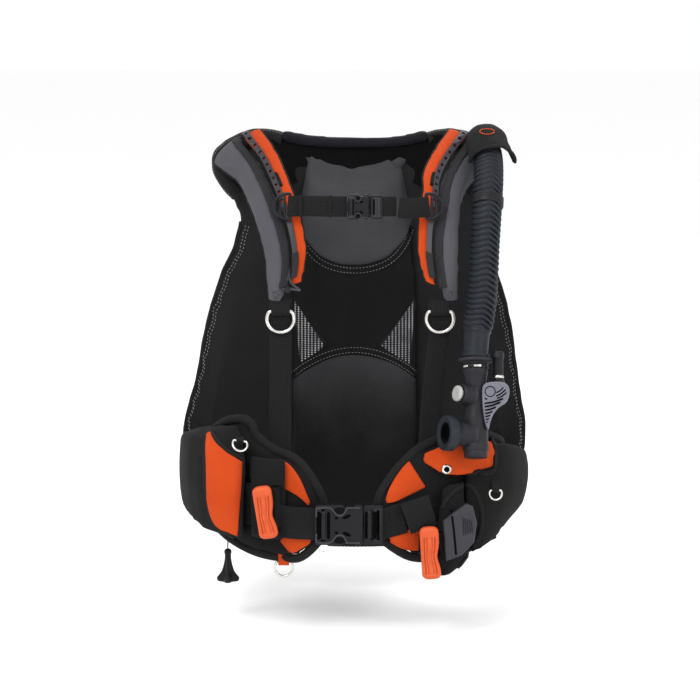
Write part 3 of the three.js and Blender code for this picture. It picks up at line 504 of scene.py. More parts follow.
def spun_ring(name, profile, at, direction, paint, body="vest", sides=48, sharp=35):
    """A hollow turned piece from a closed outline of radius and height."""
    profile = np.array(profile, float)
    turn = Vector((0, 0, 1)).rotation_difference(Vector(direction).normalized()).to_matrix()
    rings = []
    for k in range(sides):
        a = 2 * math.pi * k / sides
        rings.append([tuple(turn @ Vector((r * math.cos(a), r * math.sin(a), h)) + Vector(at))
                      for r, h in profile])
    return loft(name, rings, paint, body, closed=True, sharp=sharp)


def join_pieces(parts):
    """Several small meshes of one finish and body made into one piece."""
    points, faces = [], []
    for part_points, part_faces in parts:
        base = len(points)
        points.extend(part_points)
        faces.extend(tuple(base + i for i in f) for f in part_faces)
    return points, faces


def stitch_row(name, path, normals, paint, long=2.4 * MM, gap=1.6 * MM, thick=0.45 * MM, lift=0.1 * MM):
    """A row of thread stitches lying on a surface along a path."""
    run = np.concatenate([[0], np.cumsum(np.linalg.norm(np.diff(path, axis=0), axis=1))])
    parts = []
    start = gap / 2
    while start + long < run[-1]:
        ends = [np.array([np.interp(s, run, path[:, k]) for k in range(3)]) for s in (start, start + long)]
        up = unit(np.array([np.interp(start, run, normals[:, k]) for k in range(3)]))
        along = unit(ends[1] - ends[0])
        side = np.cross(up, along)
        points = [ends[0] + up * lift]
        for share, size in ((0.22, 0.85), (0.78, 0.85)):
            centre = ends[0] + (ends[1] - ends[0]) * share + up * (lift + 0.5 * thick)
            for k in range(6):
                a = 2 * math.pi * k / 6
                points.append(centre + (side * math.cos(a) + up * math.sin(a)) * thick * size)
        points.append(ends[1] + up * lift)
        faces = []
        for k in range(6):
            n = (k + 1) % 6
            faces += [(0, 1 + n, 1 + k), (1 + k, 1 + n, 7 + n, 7 + k), (7 + k, 7 + n, 13)]
        parts.append((points, faces))
        start += long + gap
    points, faces = join_pieces(parts)
    return build(name, points, faces, paint)


# ---- surfaces to lay things on ---------------------------------------------------------------


def tree_of(*pieces):
    """A search tree over the final meshes of pieces."""
    points, faces = [], []
    depsgraph = bpy.context.evaluated_depsgraph_get()
    for piece in pieces:
        mesh = piece.evaluated_get(depsgraph).to_mesh()
        base = len(points)
        points.extend(piece.matrix_world @ v.co for v in mesh.vertices)
        faces.extend(tuple(base + i for i in f.vertices) for f in mesh.polygons)
        piece.evaluated_get(depsgraph).to_mesh_clear()
    return BVHTree.FromPolygons(points, faces)


IN_FRONT = -0.6  # Y, ahead of every piece
BACKWARDS = Vector((0, 1, 0))
MISSED_LINE_Y = -0.2  # where the nearest surface is looked for when nothing is met
MISSED_PATCH_Y = -0.1


def struck(tree, x, z):
    """Where a line from the front first meets a surface, and the normal there."""
    return tree.ray_cast(Vector((x, IN_FRONT, z)), BACKWARDS)[:2]


def seen_from_front(tree, outline, count, lift=0.0, closed=False):
    """A smooth line of X and Z, in millimetres, carried back onto a surface, and its normals."""
    flat = smooth_line(mm(outline), count, closed)
    points, normals = [], []
    for x, z in flat:
        hit, normal = struck(tree, x, z)
        if hit is None:
            hit, normal, _, _ = tree.find_nearest(Vector((x, MISSED_LINE_Y, z)))
            hit = Vector((x, hit.y, z))
        if normal.y > 0:
            normal = -normal
        points.append(hit)
        normals.append(normal)
    normals = unit(soften(np.array(normals), closed))
    points = soften(np.array(points), closed, rounds=1)
    return points + normals * lift, normals


def laid_on(tree, points, lift=0.0):
    """Points moved to the nearest place on a surface; gives points and normals."""
    places, normals = [], []
    for p in points:
        hit, normal, _, _ = tree.find_nearest(Vector(p))
        places.append(hit)
        normals.append(normal)
    normals = unit(soften(np.array(normals)))
    return np.array(places) + normals * lift, normals


def soften(values, closed=False, rounds=3):
    """Values along a line, each averaged with its neighbours."""
    for _ in range(rounds):
        if closed:
            values = (np.roll(values, 1, axis=0) + 2 * values + np.roll(values, -1, axis=0)) / 4
        else:
            middle = (values[:-2] + 2 * values[1:-1] + values[2:]) / 4
            values = np.concatenate([values[:1], middle, values[-1:]])
    return values


def tape(name, path, normals, width, thick, paint=None, closed=False, sink=0.3):
    """Flat tape lying on a surface along a path, sunk into it by a share of its thickness."""
    centre = path + normals * thick * (0.5 - sink)
    across = np.cross(normals, tangents(path, closed))
    rings, uv = strap_rings(centre, across, width, thick, closed)
    return loft(name, rings, paint or BINDING, closed=closed, uv=uv)


def eased(share):
    """A round shoulder: 0 at an edge, 1 from one edge width inwards."""
    return math.sqrt(1 - max(0.0, 1 - share) ** 2)


def quilt(name, tree, low, high, thick, paint, body="vest", across=40, up=30, edge=5 * MM, sink=1.0 * MM,
          swell=0.0):
    """A padded patch between a low and a high line of X and Z, in millimetres, laid on a surface."""
    bottom, top = smooth_line(mm(low), across + 1), smooth_line(mm(high), across + 1)
    places = np.empty((up + 1, across + 1, 3))
    facing = np.empty_like(places)
    width = line_length(bottom)
    height = np.linalg.norm(top - bottom, axis=1).max()
    full = np.empty((up + 1, across + 1, 1))
    middle = np.empty_like(full)
    for j in range(up + 1):
        row = bottom + (top - bottom) * (j / up)
        for i, (x, z) in enumerate(row):
            hit, normal = struck(tree, x, z)
            if hit is None:
                hit, normal, _, _ = tree.find_nearest(Vector((x, MISSED_PATCH_Y, z)))
            places[j, i] = hit
            facing[j, i] = -normal if normal.y > 0 else normal
            near_side = min(i, across - i) / across * width / edge
            near_end = min(j, up - j) / up * height / edge
            full[j, i] = eased(near_side) * eased(near_end)
            middle[j, i] = (1 - (2 * i / across - 1) ** 2) * (1 - (2 * j / up - 1) ** 2)
    for grid in (places, facing):
        for _ in range(2):
            grid[:] = soften(grid, rounds=2)
            grid[:] = soften(grid.transpose(1, 0, 2), rounds=2).transpose(1, 0, 2)
    facing = unit(facing)
    return slab(name, places + facing * (thick * full + swell * middle), places - facing * sink, paint, body)


def slab(name, front, back, paint, body="vest"):
    """A closed sheet between two grids of points."""
    rows, columns, _ = front.shape
    size = rows * columns
    faces = []
    for j in range(rows - 1):
        for i in range(columns - 1):
            a = j * columns + i
            faces.append((a, a + 1, a + columns + 1, a + columns))
            faces.append((size + a, size + a + columns, size + a + columns + 1, size + a + 1))
    rim = [j for j in range(columns)] + [j * columns + columns - 1 for j in range(1, rows)]
    rim += [(rows - 1) * columns + i for i in range(columns - 2, -1, -1)]
    rim += [j * columns for j in range(rows - 2, 0, -1)]
    for k, a in enumerate(rim):
        b = rim[(k + 1) % len(rim)]
        faces.append((b, a, size + a, size + b))
    points = np.concatenate([front.reshape(-1, 3), back.reshape(-1, 3)])
    return build(name, points, faces, paint, body)


# ---- soft pieces from the frame ---------------------------------------------------------------


def copy_of(node, name):
    piece = bpy.data.objects.new(name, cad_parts[node].data.copy())
    bpy.context.scene.collection.objects.link(piece)
    return piece


def applied(piece):
    """The piece's mesh with its modifiers worked out, and none left."""
    depsgraph = bpy.context.evaluated_depsgraph_get()
    depsgraph.update()
    mesh = bpy.data.meshes.new_from_object(piece.evaluated_get(depsgraph))
    piece.modifiers.clear()
    piece.data = mesh
    return piece


def coordinates(piece):
    flat = np.empty(len(piece.data.vertices) * 3)
    piece.data.vertices.foreach_get("co", flat)
    return flat.reshape(-1, 3)


def place_points(piece, points):
    piece.data.vertices.foreach_set("co", points.ravel())
    piece.data.update()


def inflate(piece, pressure, cap, frames=20):
    """Blows a closed piece up a little as cloth; no point moves further than the cap."""
    start = coordinates(piece)
    cloth = piece.modifiers.new("cloth", "CLOTH")
    cloth.settings.use_pressure = True
    cloth.settings.uniform_pressure_force = pressure
    cloth.settings.effector_weights.gravity = 0
    cloth.settings.quality = 4
    cloth.settings.mass = 0.25
    cloth.collision_settings.use_collision = False
    cloth.point_cache.frame_end = frames
    scene = bpy.context.scene
    for step in range(1, frames + 1):
        scene.frame_set(step)
    applied(piece)
    scene.frame_set(1)
    end = coordinates(piece)
    shift = end - start
    far = np.linalg.norm(shift, axis=1, keepdims=True)
    place_points(piece, start + shift * np.minimum(1, cap / np.maximum(far, 1e-9)))


def creased(piece, depth, scale, stretch=(1, 1, 1), seed=0.0):
    """Moves points along their normals by smooth noise, for soft folds."""
    points = coordinates(piece)
    normals = np.empty(len(points) * 3)
    piece.data.vertices.foreach_get("normal", normals)
    normals = normals.reshape(-1, 3)
    moved = [depth * noise.noise(Vector(p * stretch * scale) + Vector((seed, seed, seed))) for p in points]
    place_points(piece, points + normals * np.array(moved)[:, None])


def relaxed(piece, rounds, factor=0.5):
    work = bmesh.new()
    work.from_mesh(piece.data)
    for _ in range(rounds):
        bmesh.ops.smooth_vert(work, verts=work.verts, factor=factor, use_axis_x=True, use_axis_y=True,
                              use_axis_z=True)
    work.to_mesh(piece.data)
    work.free()


def stuffed(name, node, paint, body="vest", voxel=4.5 * MM, pressure=4.0, cap=3 * MM, rounds=4, crease=0.0,
            scale=30.0, stretch=(1, 1, 1), levels=1, shrink=0.0):
    """A padded piece that stands for a soft CAD node: remeshed, inflated as cloth, eased and subdivided."""
    piece = copy_of(node, name)
    remesh = piece.modifiers.new("remesh", "REMESH")
    remesh.mode = "VOXEL"
    remesh.voxel_size = voxel
    applied(piece)
    relaxed(piece, rounds)
    if shrink:
        normals = np.empty(len(piece.data.vertices) * 3)
        piece.data.vertices.foreach_get("normal", normals)
        place_points(piece, coordinates(piece) - normals.reshape(-1, 3) * shrink)
    if pressure:
        inflate(piece, pressure, cap)
        relaxed(piece, 1)
    if levels:
        divide = piece.modifiers.new("divide", "SUBSURF")
        divide.levels = divide.render_levels = levels
        applied(piece)
    if crease:
        creased(piece, crease, scale, stretch, seed=len(node) * 1.7)
    mesh = piece.data
    bpy.data.objects.remove(piece)
    piece = finished(name, mesh, paint, body)
    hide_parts(node)
    return piece


def refined(node, paint, body, bevel=0.6 * MM, segments=3, sharp=40):
    """A rigid CAD piece with its planes restored and its corners rounded."""
    piece = copy_of(node, node + "_moulding")
    work = bmesh.new()
    work.from_mesh(piece.data)
    bmesh.ops.remove_doubles(work, verts=work.verts, dist=1e-6)
    bmesh.ops.dissolve_limit(work, angle_limit=math.radians(1.5), verts=work.verts, edges=work.edges)
    work.to_mesh(piece.data)
    work.free()
    rounding = piece.modifiers.new("rounding", "BEVEL")
    rounding.width = bevel
    rounding.segments = segments
    rounding.limit_method = "ANGLE"
    rounding.angle_limit = math.radians(28)
    applied(piece)
    mesh = piece.data
    bpy.data.objects.remove(piece)
    piece = finished(node + "_moulding", mesh, paint, body, sharp)
    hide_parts(node)
    return piece


def rim_tape(name, path, normals, width, thick, sides=12):
    """Binding folded round an edge: an oval section, wide in the surface and thick across it."""
    across = unit(np.cross(normals, tangents(path)))
    turns = 2 * math.pi * np.arange(sides) / sides
    rings = np.stack([path + across * math.cos(a) * width / 2 + normals * math.sin(a) * thick / 2
                      for a in turns], axis=1)
    return loft(name, rings, BINDING)


def offset_line(path, normals, by):
    """A line moved sideways within its surface."""
    return path + unit(np.cross(normals, tangents(path))) * by


# ---- free cords ------------------------------------------------------------------------------

HOSE_ROUTE = mm([
    (165, -135.5, 243), (165.6, -147, 236.5), (165.5, -163, 226), (164.5, -180, 211), (163, -193, 195),
    (161.5, -204, 177), (160, -212, 158), (158.5, -219, 138), (157.5, -225, 118), (156.5, -230, 98),
    (155.5, -234, 79), (153, -238, 60), (149.5, -243.5, 39), (147, -249, 19), (146, -253.4, 4.6),
])
HOSE = {"radius": 18.5 * MM, "pitch": 6.9 * MM, "cuff": 37 * MM, "cuff_radius": 15.6 * MM, "sides": 72}


def corrugation(phase, turn):
    """How deep the hose's skin lies under its crest: arched ribs in front, thin fins on the outer side."""
    valley = 12.0
    past = turn - valley
    if past > 0:
        shift = 11.0 * MM * min(past, 110.0) / 90
    else:
        shift = 3.2 * MM * math.sin(math.pi * min(-past, 110.0) / 110)
    fin = min(max(past / 30, 0.0), 1.0) * min(max((150 - past) / 40, 0.0), 1.0)
    t = ((phase - shift) / HOSE["pitch"]) % 1.0
    narrow, deep = 0.14 + 0.11 * fin, (2.6 + 2.6 * fin) * MM
    return deep * math.exp(-((t - 0.5) / narrow) ** 2)


def make_hose():
    rings = int(line_length(smooth_line(HOSE_ROUTE, 200)) / (0.85 * MM))
    path = smooth_line(HOSE_ROUTE, rings)
    along = tangents(path)
    front = unit(np.cross(np.cross(along, np.array([0.0, -1.0, 0.35])), along))
    side = np.cross(along, front)
    side *= np.sign(side[:, :1])
    length = line_length(path)
    sections = []
    for i in range(rings):
        run = length * i / (rings - 1)
        left = length - run
        blend = min(max((HOSE["cuff"] - left) / (3 * MM), 0.0), 1.0)
        ring = []
        for k in range(HOSE["sides"]):
            turn = 360.0 * k / HOSE["sides"] - 180
            ribbed = HOSE["radius"] - corrugation(run, turn)
            ring_radius = ribbed * (1 - blend) + HOSE["cuff_radius"] * blend
            if left < 5 * MM or abs(left - HOSE["cuff"] + 4 * MM) < 1.6 * MM:
                ring_radius = HOSE["cuff_radius"] + 1.4 * MM
            a = math.radians(turn)
            ring.append(path[i] + (front[i] * math.cos(a) + side[i] * math.sin(a)) * ring_radius)
        sections.append(ring)
    hose = loft("corrugated_hose", sections, HOSE_RUBBER)
    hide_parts("inflator_hose")
    return hose


DUMP = {"x": -159, "y": -196, "seat": -214, "knob_top": -247}


def knob_ring(radius, height, lobe, sides=48):
    """A section of the pull knob: round above, four-lobed at the foot."""
    ring = []
    for k in range(sides):
        a = 2 * math.pi * k / sides
        r = radius * (1 + lobe * math.cos(4 * a))
        ring.append(mm((DUMP["x"] + r * math.cos(a), DUMP["y"] + r * math.sin(a), DUMP["knob_top"] + height)))
    return ring


def make_dump_pull():
    profile = [(0.1, 0, 0), (2.6, -0.2, 0), (4.4, -2, 0), (4.6, -5, 0), (3.9, -8, 0), (4.1, -14, 0.05),
               (5.0, -22, 0.18), (6.6, -29, 0.26), (9.2, -34, 0.3), (10.6, -36.5, 0.3), (10.8, -39.5, 0.28),
               (9.6, -41.5, 0.22), (0.1, -42, 0)]
    rings = smooth_line(np.array(profile, float), 46)
    knob = loft("dump_knob", [knob_ring(max(r, 0.05), h, lobe) for r, h, lobe in rings], PLASTIC, "dump_pull")
    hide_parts("dump_pull_knob")
    top, low = (DUMP["seat"] + 11.7) * MM, (DUMP["knob_top"] - 0.3) * MM
    middle = (DUMP["x"] * MM, DUMP["y"] * MM)
    bend = 0.25 * MM
    route = [(middle[0] + bend * math.sin(k), middle[1], top + (low - top) * k / 11) for k in range(12)]
    cord = tube("dump_cord", route, 1.0 * MM, THREAD_PALE, "dump_pull", sides=10, count=60)
    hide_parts("dump_pull_cord")


make_hose()
make_dump_pull()

# ---- bladder and back ------------------------------------------------------------------------


def side_line(piece, side, heights, inset=0.0):
    """The outermost line of a piece on one side, from height to height, moved inwards."""
    points = coordinates(piece)
    line = []
    for z in heights:
        near = points[np.abs(points[:, 2] - z) < 5 * MM]
        near = near[near[:, 0] * side > 0.1]
        best = near[np.argmax(near[:, 0] * side)]
        line.append((best[0], best[1], z))
    line = soften(np.array(line), rounds=4)
    across = unit(np.cross(tangents(line), np.array([0.0, -1.0, 0.0])))
    across *= np.sign(across[:, :1]) * side
    return line - across * inset


def edge_seams(bladder, tree):
    """Binding and two rows of pale stitches along both wings and the hem."""
    for side in (RIGHT, LEFT):
        heights = np.linspace(0.150, -0.215, 90)
        edge = side_line(bladder, side, heights, 1.2 * MM)
        normals = np.broadcast_to(unit(np.array([side * 0.42, -0.9, 0.0])), edge.shape)
        rim_tape(f"wing_binding_{WORD[side]}", edge, normals, 6 * MM, 9.5 * MM)
        for row, inset in enumerate((3.0, 9.5)):
            line = side_line(bladder, side, heights, inset * MM)
            ahead = line + np.array([0.0, -0.03, 0.0])
            points, up = laid_on(tree, ahead, 1.2 * MM if row == 0 else 0.2 * MM)
            stitch_row(f"wing_stitches_{WORD[side]}_{row}", points, up, THREAD_PALE, long=2.6 * MM,
                       gap=2.0 * MM, thick=0.5 * MM)
    for row, rise in enumerate((4.0, 9.0)):
        outline = [(x, -286 + rise + 0.00125 * x * x) for x in (-48, -24, 0, 24, 48)]
        points, up = seen_from_front(tree, outline, 60, 0.2 * MM)
        stitch_row(f"hem_stitches_{row}", points, up, THREAD_PALE, long=3 * MM, gap=2 * MM, thick=0.5 * MM)


def both_sides(half):
    """A line given from its middle outwards, with its mirror image before it."""
    return [(-x, z) for x, z in half[:0:-1]] + half


UPPER_ARC = both_sides([(0, 96), (24, 99), (45, 108), (62, 126), (74, 150)])
LOWER_ARCH = both_sides([(0, -10), (24, -13), (46, -21), (66, -33), (80, -46)])
UPPER_PAD_TOP = both_sides([(0, 220), (25, 223), (44, 231), (56, 242)])
LUMBAR_FOOT = both_sides([(0, -270), (40, -268), (80, -262)])
# The mesh gussets' lower edge, upper edge and inner edge.
GUSSETS = {
    RIGHT: ([(-70, -33), (-62, -27), (-50, -18), (-38, -7)], [(-79, 50), (-78.5, 50.5), (-78, 50.5),
                                                              (-77, 50)],
            [(-77, 52), (-68, 34), (-54, 14), (-37, -6)]),
    LEFT: ([(71, -37), (60, -29), (46, -18), (33, -7)], [(78, 50), (77.5, 51), (77, 51), (76, 50)],
           [(76, 52), (66, 34), (51, 14), (33, -6)]),
}


def shifted(outline, dz):
    return [(x, z + dz) for x, z in outline]


def back_panels(tree):
    """The sewn panels that lie against the diver's back."""
    upper = quilt("upper_pad", tree, UPPER_ARC, UPPER_PAD_TOP, 4.5 * MM, PANEL_NYLON, across=56, up=40,
                  edge=9 * MM, swell=2 * MM)
    creased(upper, 1.6 * MM, 26.0, (1.8, 1.0, 0.7), 3.0)
    lumbar = quilt("lumbar_pad", tree, LUMBAR_FOOT, shifted(LOWER_ARCH, -9), 5 * MM, LUMBAR_NYLON,
                   across=60, up=70, edge=8 * MM, swell=3 * MM)
    creased(lumbar, 1.2 * MM, 18.0, (1.0, 1.0, 2.2), 7.0)
    spots = tree_of(middle, bladder, upper, lumbar)
    for name, arc, side in (("upper", UPPER_ARC, -1), ("lower", LOWER_ARCH, 1)):
        path, up = seen_from_front(spots, shifted(arc, -7 if side < 0 else -3), 90)
        tape(f"{name}_band", path, up, 13 * MM, 1.6 * MM, BLACK_NYLON)
        for row, rise in enumerate((-3.2, 3.2)):
            stitch_row(f"{name}_band_stitches_{row}", offset_line(path, up, rise * MM) + up * 1.0 * MM, up,
                       THREAD_PALE, long=2.4 * MM, gap=1.8 * MM, thick=0.42 * MM)
    for side, (low, high, inner) in GUSSETS.items():
        quilt(f"mesh_gusset_{WORD[side]}", tree, low, high, 1.2 * MM, MESH_GREY, across=24, up=44,
              edge=2 * MM)
        edge, up = seen_from_front(tree, inner, 50)
        tape(f"gusset_edge_{WORD[side]}", edge, up, 4 * MM, 1.6 * MM)


bladder = stuffed("bladder", "air_cell", WING_NYLON, voxel=6 * MM, pressure=5.0, cap=4 * MM, rounds=5,
                  crease=2.0 * MM, scale=17.0, stretch=(0.8, 1.0, 1.5))
middle = stuffed("middle_panel", "back_pad", BLACK_NYLON, voxel=5 * MM, pressure=3.0, cap=3 * MM, rounds=4,
                 crease=1.2 * MM, scale=16.0)
back_tree = tree_of(middle, bladder)
edge_seams(bladder, back_tree)
back_panels(back_tree)
collar = stuffed("collar_roll_cover", "collar_roll", COLLAR_NYLON, voxel=3.5 * MM, pressure=5.0, cap=2.5 * MM,
                 rounds=3, crease=0.7 * MM, scale=40.0, stretch=(0.5, 1, 1))

# ---- shoulders -------------------------------------------------------------------------------

SHOULDER_SECTIONS = [
    [(-172, -64, 224), (-116, -62, 264)],
    [(-179, -96, 226), (-116, -96, 268)],
    [(-150, -132, 204), (-98, -134, 247)],
    [(-136, -164, 184), (-84, -168, 222)],
    [(-124, -192, 159), (-73, -194, 196)],
    [(-114, -208, 130), (-62, -212, 158)],
    [(-109, -215, 98), (-60, -218, 116)],
    [(-106, -218, 67), (-74, -218, 67)],
]
LEFT_SWAY = [0, 0, 0, 0, 8, 14, 19, 20]


def shoulder_edges(side):
    edges = []
    for k in range(2):
        points = [row[k] for row in SHOULDER_SECTIONS]
        if side == LEFT:
            points = [(sway - x, y, z) for (x, y, z), sway in zip(points, LEFT_SWAY)]
        edges.append(mm(points))
    return edges


def shoulder_point(side, s, f, height):
    """A place on a shoulder strap: s from behind to front, f from outer to inner edge, in metres above."""
    outer, inner = shoulder_edges(side)

    def at(ss, ff):
        return spline(outer, ss) * (1 - ff) + spline(inner, ss) * ff
    along = at(min(s + 0.01, 1), f) - at(max(s - 0.01, 0), f)
    across = spline(inner, s) - spline(outer, s)
    up = unit(np.cross(across, along)) * side
    return at(s, f) + up * (height + 5 * MM * (1 - (2 * f - 1) ** 2))


def shoulder_line(side, stops, count, height=0.012):
    """A smooth line over a strap through pairs of s and f."""
    return smooth_line([shoulder_point(side, s, f, height) for s, f in stops], count)


def shoulder_slab(name, side, s_range, f_range, heights, paint, along=12, across=6):
    """A small moulded or sewn block lying on a strap."""
    grids = []
    for height in heights:
        grids.append(np.array([[shoulder_point(side, s, f, height * MM) for f in np.linspace(*f_range,
                                                                                             across)]
                               for s in np.linspace(*s_range, along)]))
    return slab(name, grids[1], grids[0], paint)


def dress_shoulder(side):
    word = WORD[side]
    pad = stuffed(f"shoulder_cushion_{word}", f"shoulder_pad_{word}", GREY_NYLON, voxel=4 * MM, pressure=5.0,
                  cap=3.5 * MM, rounds=3, crease=1.3 * MM, scale=24.0, stretch=(1.4, 1.0, 0.8),
                  shrink=0.6 * MM)
    trim = stuffed(f"shoulder_facing_{word}", f"shoulder_trim_{word}", ORANGE_NYLON, voxel=3 * MM,
                   pressure=4.0,
                   cap=2 * MM, rounds=2, crease=1.1 * MM, scale=30.0)
    tree = tree_of(pad, trim)
    path, up = laid_on(tree, shoulder_line(side, [(s, 0.6) for s in np.linspace(0.03, 0.94, 9)], 90))
    tape(f"shoulder_band_{word}", path, up, 11 * MM, 2.2 * MM, CHARCOAL_NYLON)
    for row, f in enumerate((0.54, 0.66)):
        line, out = laid_on(tree, shoulder_line(side, [(s, f) for s in np.linspace(0.05, 0.93, 9)], 90),
                            1.5 * MM)
        stitch_row(f"shoulder_band_stitches_{word}_{row}", line, out, THREAD_DARK, thick=0.4 * MM)
    for row, f in ((0, 0.985), (1, 0.02)):
        line, out = laid_on(tree, shoulder_line(side, [(s, f) for s in np.linspace(0.02, 0.95, 10)], 90, 0.0))
        rim_tape(f"shoulder_piping_{word}_{row}", line, out, 3.0 * MM, 3.0 * MM)
    rail_piece = refined(f"shoulder_rail_{word}", GREY_MOULD, "vest", bevel=0.4 * MM, segments=2)
    rail_piece.name = f"rail_{word}"
    shoulder_slab(f"rail_boot_{word}", side, (0.80, 0.90), (0.68, 0.83), (3.0, 9.0), CHARCOAL_NYLON)
    shoulder_slab(f"rail_tab_{word}", side, (0.42, 0.50), (0.815, 0.86), (3.0, 7.6), BLACK_NYLON)
    for row, (s0, f0, s1, f1) in enumerate((
            (0.945, 0.12, 0.945, 0.62), (0.985, 0.16, 0.985, 0.62), (0.945, 0.12, 0.985, 0.16),
            (0.945, 0.62, 0.985, 0.62), (0.945, 0.14, 0.985, 0.60), (0.945, 0.60, 0.985, 0.16))):
        line, out = laid_on(tree, shoulder_line(side, [(s0, f0), ((s0 + s1) / 2, (f0 + f1) / 2), (s1, f1)],
                                                16),
                            0.15 * MM)
        stitch_row(f"pad_end_stitches_{word}_{row}", line, out, THREAD_DARK, long=2 * MM, gap=1 * MM)


for wearer_side in (RIGHT, LEFT):
    dress_shoulder(wearer_side)


def shoulder_rolls():
    """The rolled black edge of the bladder that rises behind and outside each shoulder pad."""
    half = [(-92, -66, 256), (-106, -64, 260), (-120, -64, 261), (-134, -66, 259), (-149, -70, 253),
            (-162, -74, 246), (-171, -80, 237), (-173, -84, 226), (-170, -84, 213), (-162, -80, 199),
            (-150, -74, 186)]
    for side in (RIGHT, LEFT):
        points = mm([(x if side == RIGHT else -x, y, z) for x, y, z in half])
        roll = tube(f"shoulder_roll_{WORD[side]}", points, 8.6 * MM, WING_NYLON, sides=24, count=80)
        creased(roll, 1.6 * MM, 60.0, (1.0, 1.0, 1.0), 2.0 + side)
        line = smooth_line(points, 80)
        out = np.cross(tangents(line), np.array([0.0, 1.0, 0.0]))
        out = unit(out * np.sign((out * (line - line.mean(axis=0))).sum(axis=1, keepdims=True)) + (0, -0.8,
                                                                                                   0))
        stitch_row(f"shoulder_roll_stitches_{WORD[side]}", line + out * 8.4 * MM, out, THREAD_PALE,
                   thick=0.4 * MM)


def neck_hollow():
    """A sheet of painted shade for the dark inside of the yoke, between the collar and the top of the back
    pads.
    """
    across, rows = 60, 18
    top = smooth_line(mm([(-112, -72, 262), (-94, -72, 261), (-62, -56, 253), (-30, -48, 249), (0, -45, 248),
                          (30, -47, 249), (62, -56, 253), (94, -72, 261), (112, -72, 262)]), across)
    low = smooth_line(mm([(-92, -68, 190), (-74, -60, 200), (-50, -54, 206), (-25, -52, 206), (0, -51, 206),
                          (25, -52, 206), (50, -54, 206), (74, -60, 200), (92, -68, 190)]), across)
    front = np.empty((rows + 1, across, 3))
    for j in range(rows + 1):
        share = j / rows
        deep = math.sin(math.pi * share)
        for i in range(across):
            fold = noise.noise(Vector((i * 0.16, share * 0.9, 4.0)))
            front[j, i] = top[i] + (low[i] - top[i]) * share
            front[j, i, 1] -= (1.5 + 2.2 * fold) * MM * deep
    slab("neck_hollow", front, front + np.array([0, 0.0025, 0]), PAINTED_SHADE_NYLON)


def shoulder_wings():
    """The bladder's cloth between the roll and the neck, behind each shoulder pad."""
    rolled = [(-96, -60, 257), (-110, -60, 261), (-124, -60, 261), (-138, -62, 257), (-153, -66, 249),
              (-165, -72, 240), (-170, -78, 228), (-166, -78, 212), (-156, -74, 196)]
    inner = [(-92, -60, 236), (-98, -58, 228), (-104, -56, 220), (-110, -56, 212), (-116, -56, 204),
             (-122, -56, 196), (-128, -58, 188), (-132, -58, 182), (-136, -60, 176)]
    for side in (RIGHT, LEFT):
        turned = np.array([1.0 if side == RIGHT else -1.0, 1.0, 1.0])
        edge, root = smooth_line(mm(rolled) * turned, 40), smooth_line(mm(inner) * turned, 40)
        rows = 14
        front = np.array([edge + (root - edge) * (j / rows) for j in range(rows + 1)])
        for j in range(rows + 1):
            for i in range(40):
                front[j, i, 1] -= 2.4 * MM * noise.noise(Vector((i * 0.17, j * 0.14, 9.0 + side)))
        slab(f"shoulder_wing_{WORD[side]}", front, front + np.array([0, 0.003, 0]), WING_NYLON)


def rail_clip():
    """The forked clip that ends the right shoulder's rail."""
    def at(x, z, lift=0.0):
        return (x, -223.5 - lift, z)
    fork = {"stem": [at(-83, 119), at(-82.5, 108, 1.5), at(-82.5, 96, 2)],
            "leg_outer": [at(-84.5, 112, 0.5), at(-85.5, 100, 2), at(-88, 92, 2), at(-96, 84, 1)],
            "leg_inner": [at(-80.5, 112, 0.5), at(-79.5, 100, 2), at(-77, 92, 2), at(-67, 83, 1)],
            "crossbar": [at(-95, 84, 1.2), at(-82, 85.5, 3), at(-68, 83.5, 1.2)]}
    for part, points in fork.items():
        tube(f"rail_clip_{part}", mm(points), 2.0 * MM, GREY_MOULD, sides=10, count=30, flat=0.8)
    spun("rail_clip_stud", mm([(0, 0), (4.2, 0), (4.2, 2), (3.2, 3.2), (0, 3.4)]), mm(at(-82.3, 84, 2.4)),
         (0, -1, 0.1), PLASTIC)


shoulder_rolls()
neck_hollow()
shoulder_wings()
rail_clip()

# ---- straps, sliders and D-rings -------------------------------------------------------------

WEB_X = {RIGHT: -91, LEFT: 104}
RING_Z = 57
RING_Y = -221 - 1.3 - 2.9
CHEST_Z = 186


def wire_ring(name, radius, wire, bar, at, turn=(0, 0, 0), body="vest", node=None):
    """A wire ring flattened to a straight bar at the top, the bar's middle at a point."""
    points = []
    for k in range(72):
        a = 2 * math.pi * k / 72
        points.append(Vector((radius * math.cos(a), 0, min(radius * math.sin(a), bar) - bar)) * MM)
    spin = Matrix.Rotation(math.radians(turn[0]), 3, "X") @ Matrix.Rotation(math.radians(turn[2]), 3, "Z")
    path = soften(np.array([tuple(spin @ p + Vector(at) * MM) for p in points]), True, 2)
    facing = spin @ Vector((0, -1, 0))
    ring = loft(name, round_rings(path, wire * MM, 14, True, tuple(facing)), STEEL, body, True)
    if node:
        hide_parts(node)
    return ring


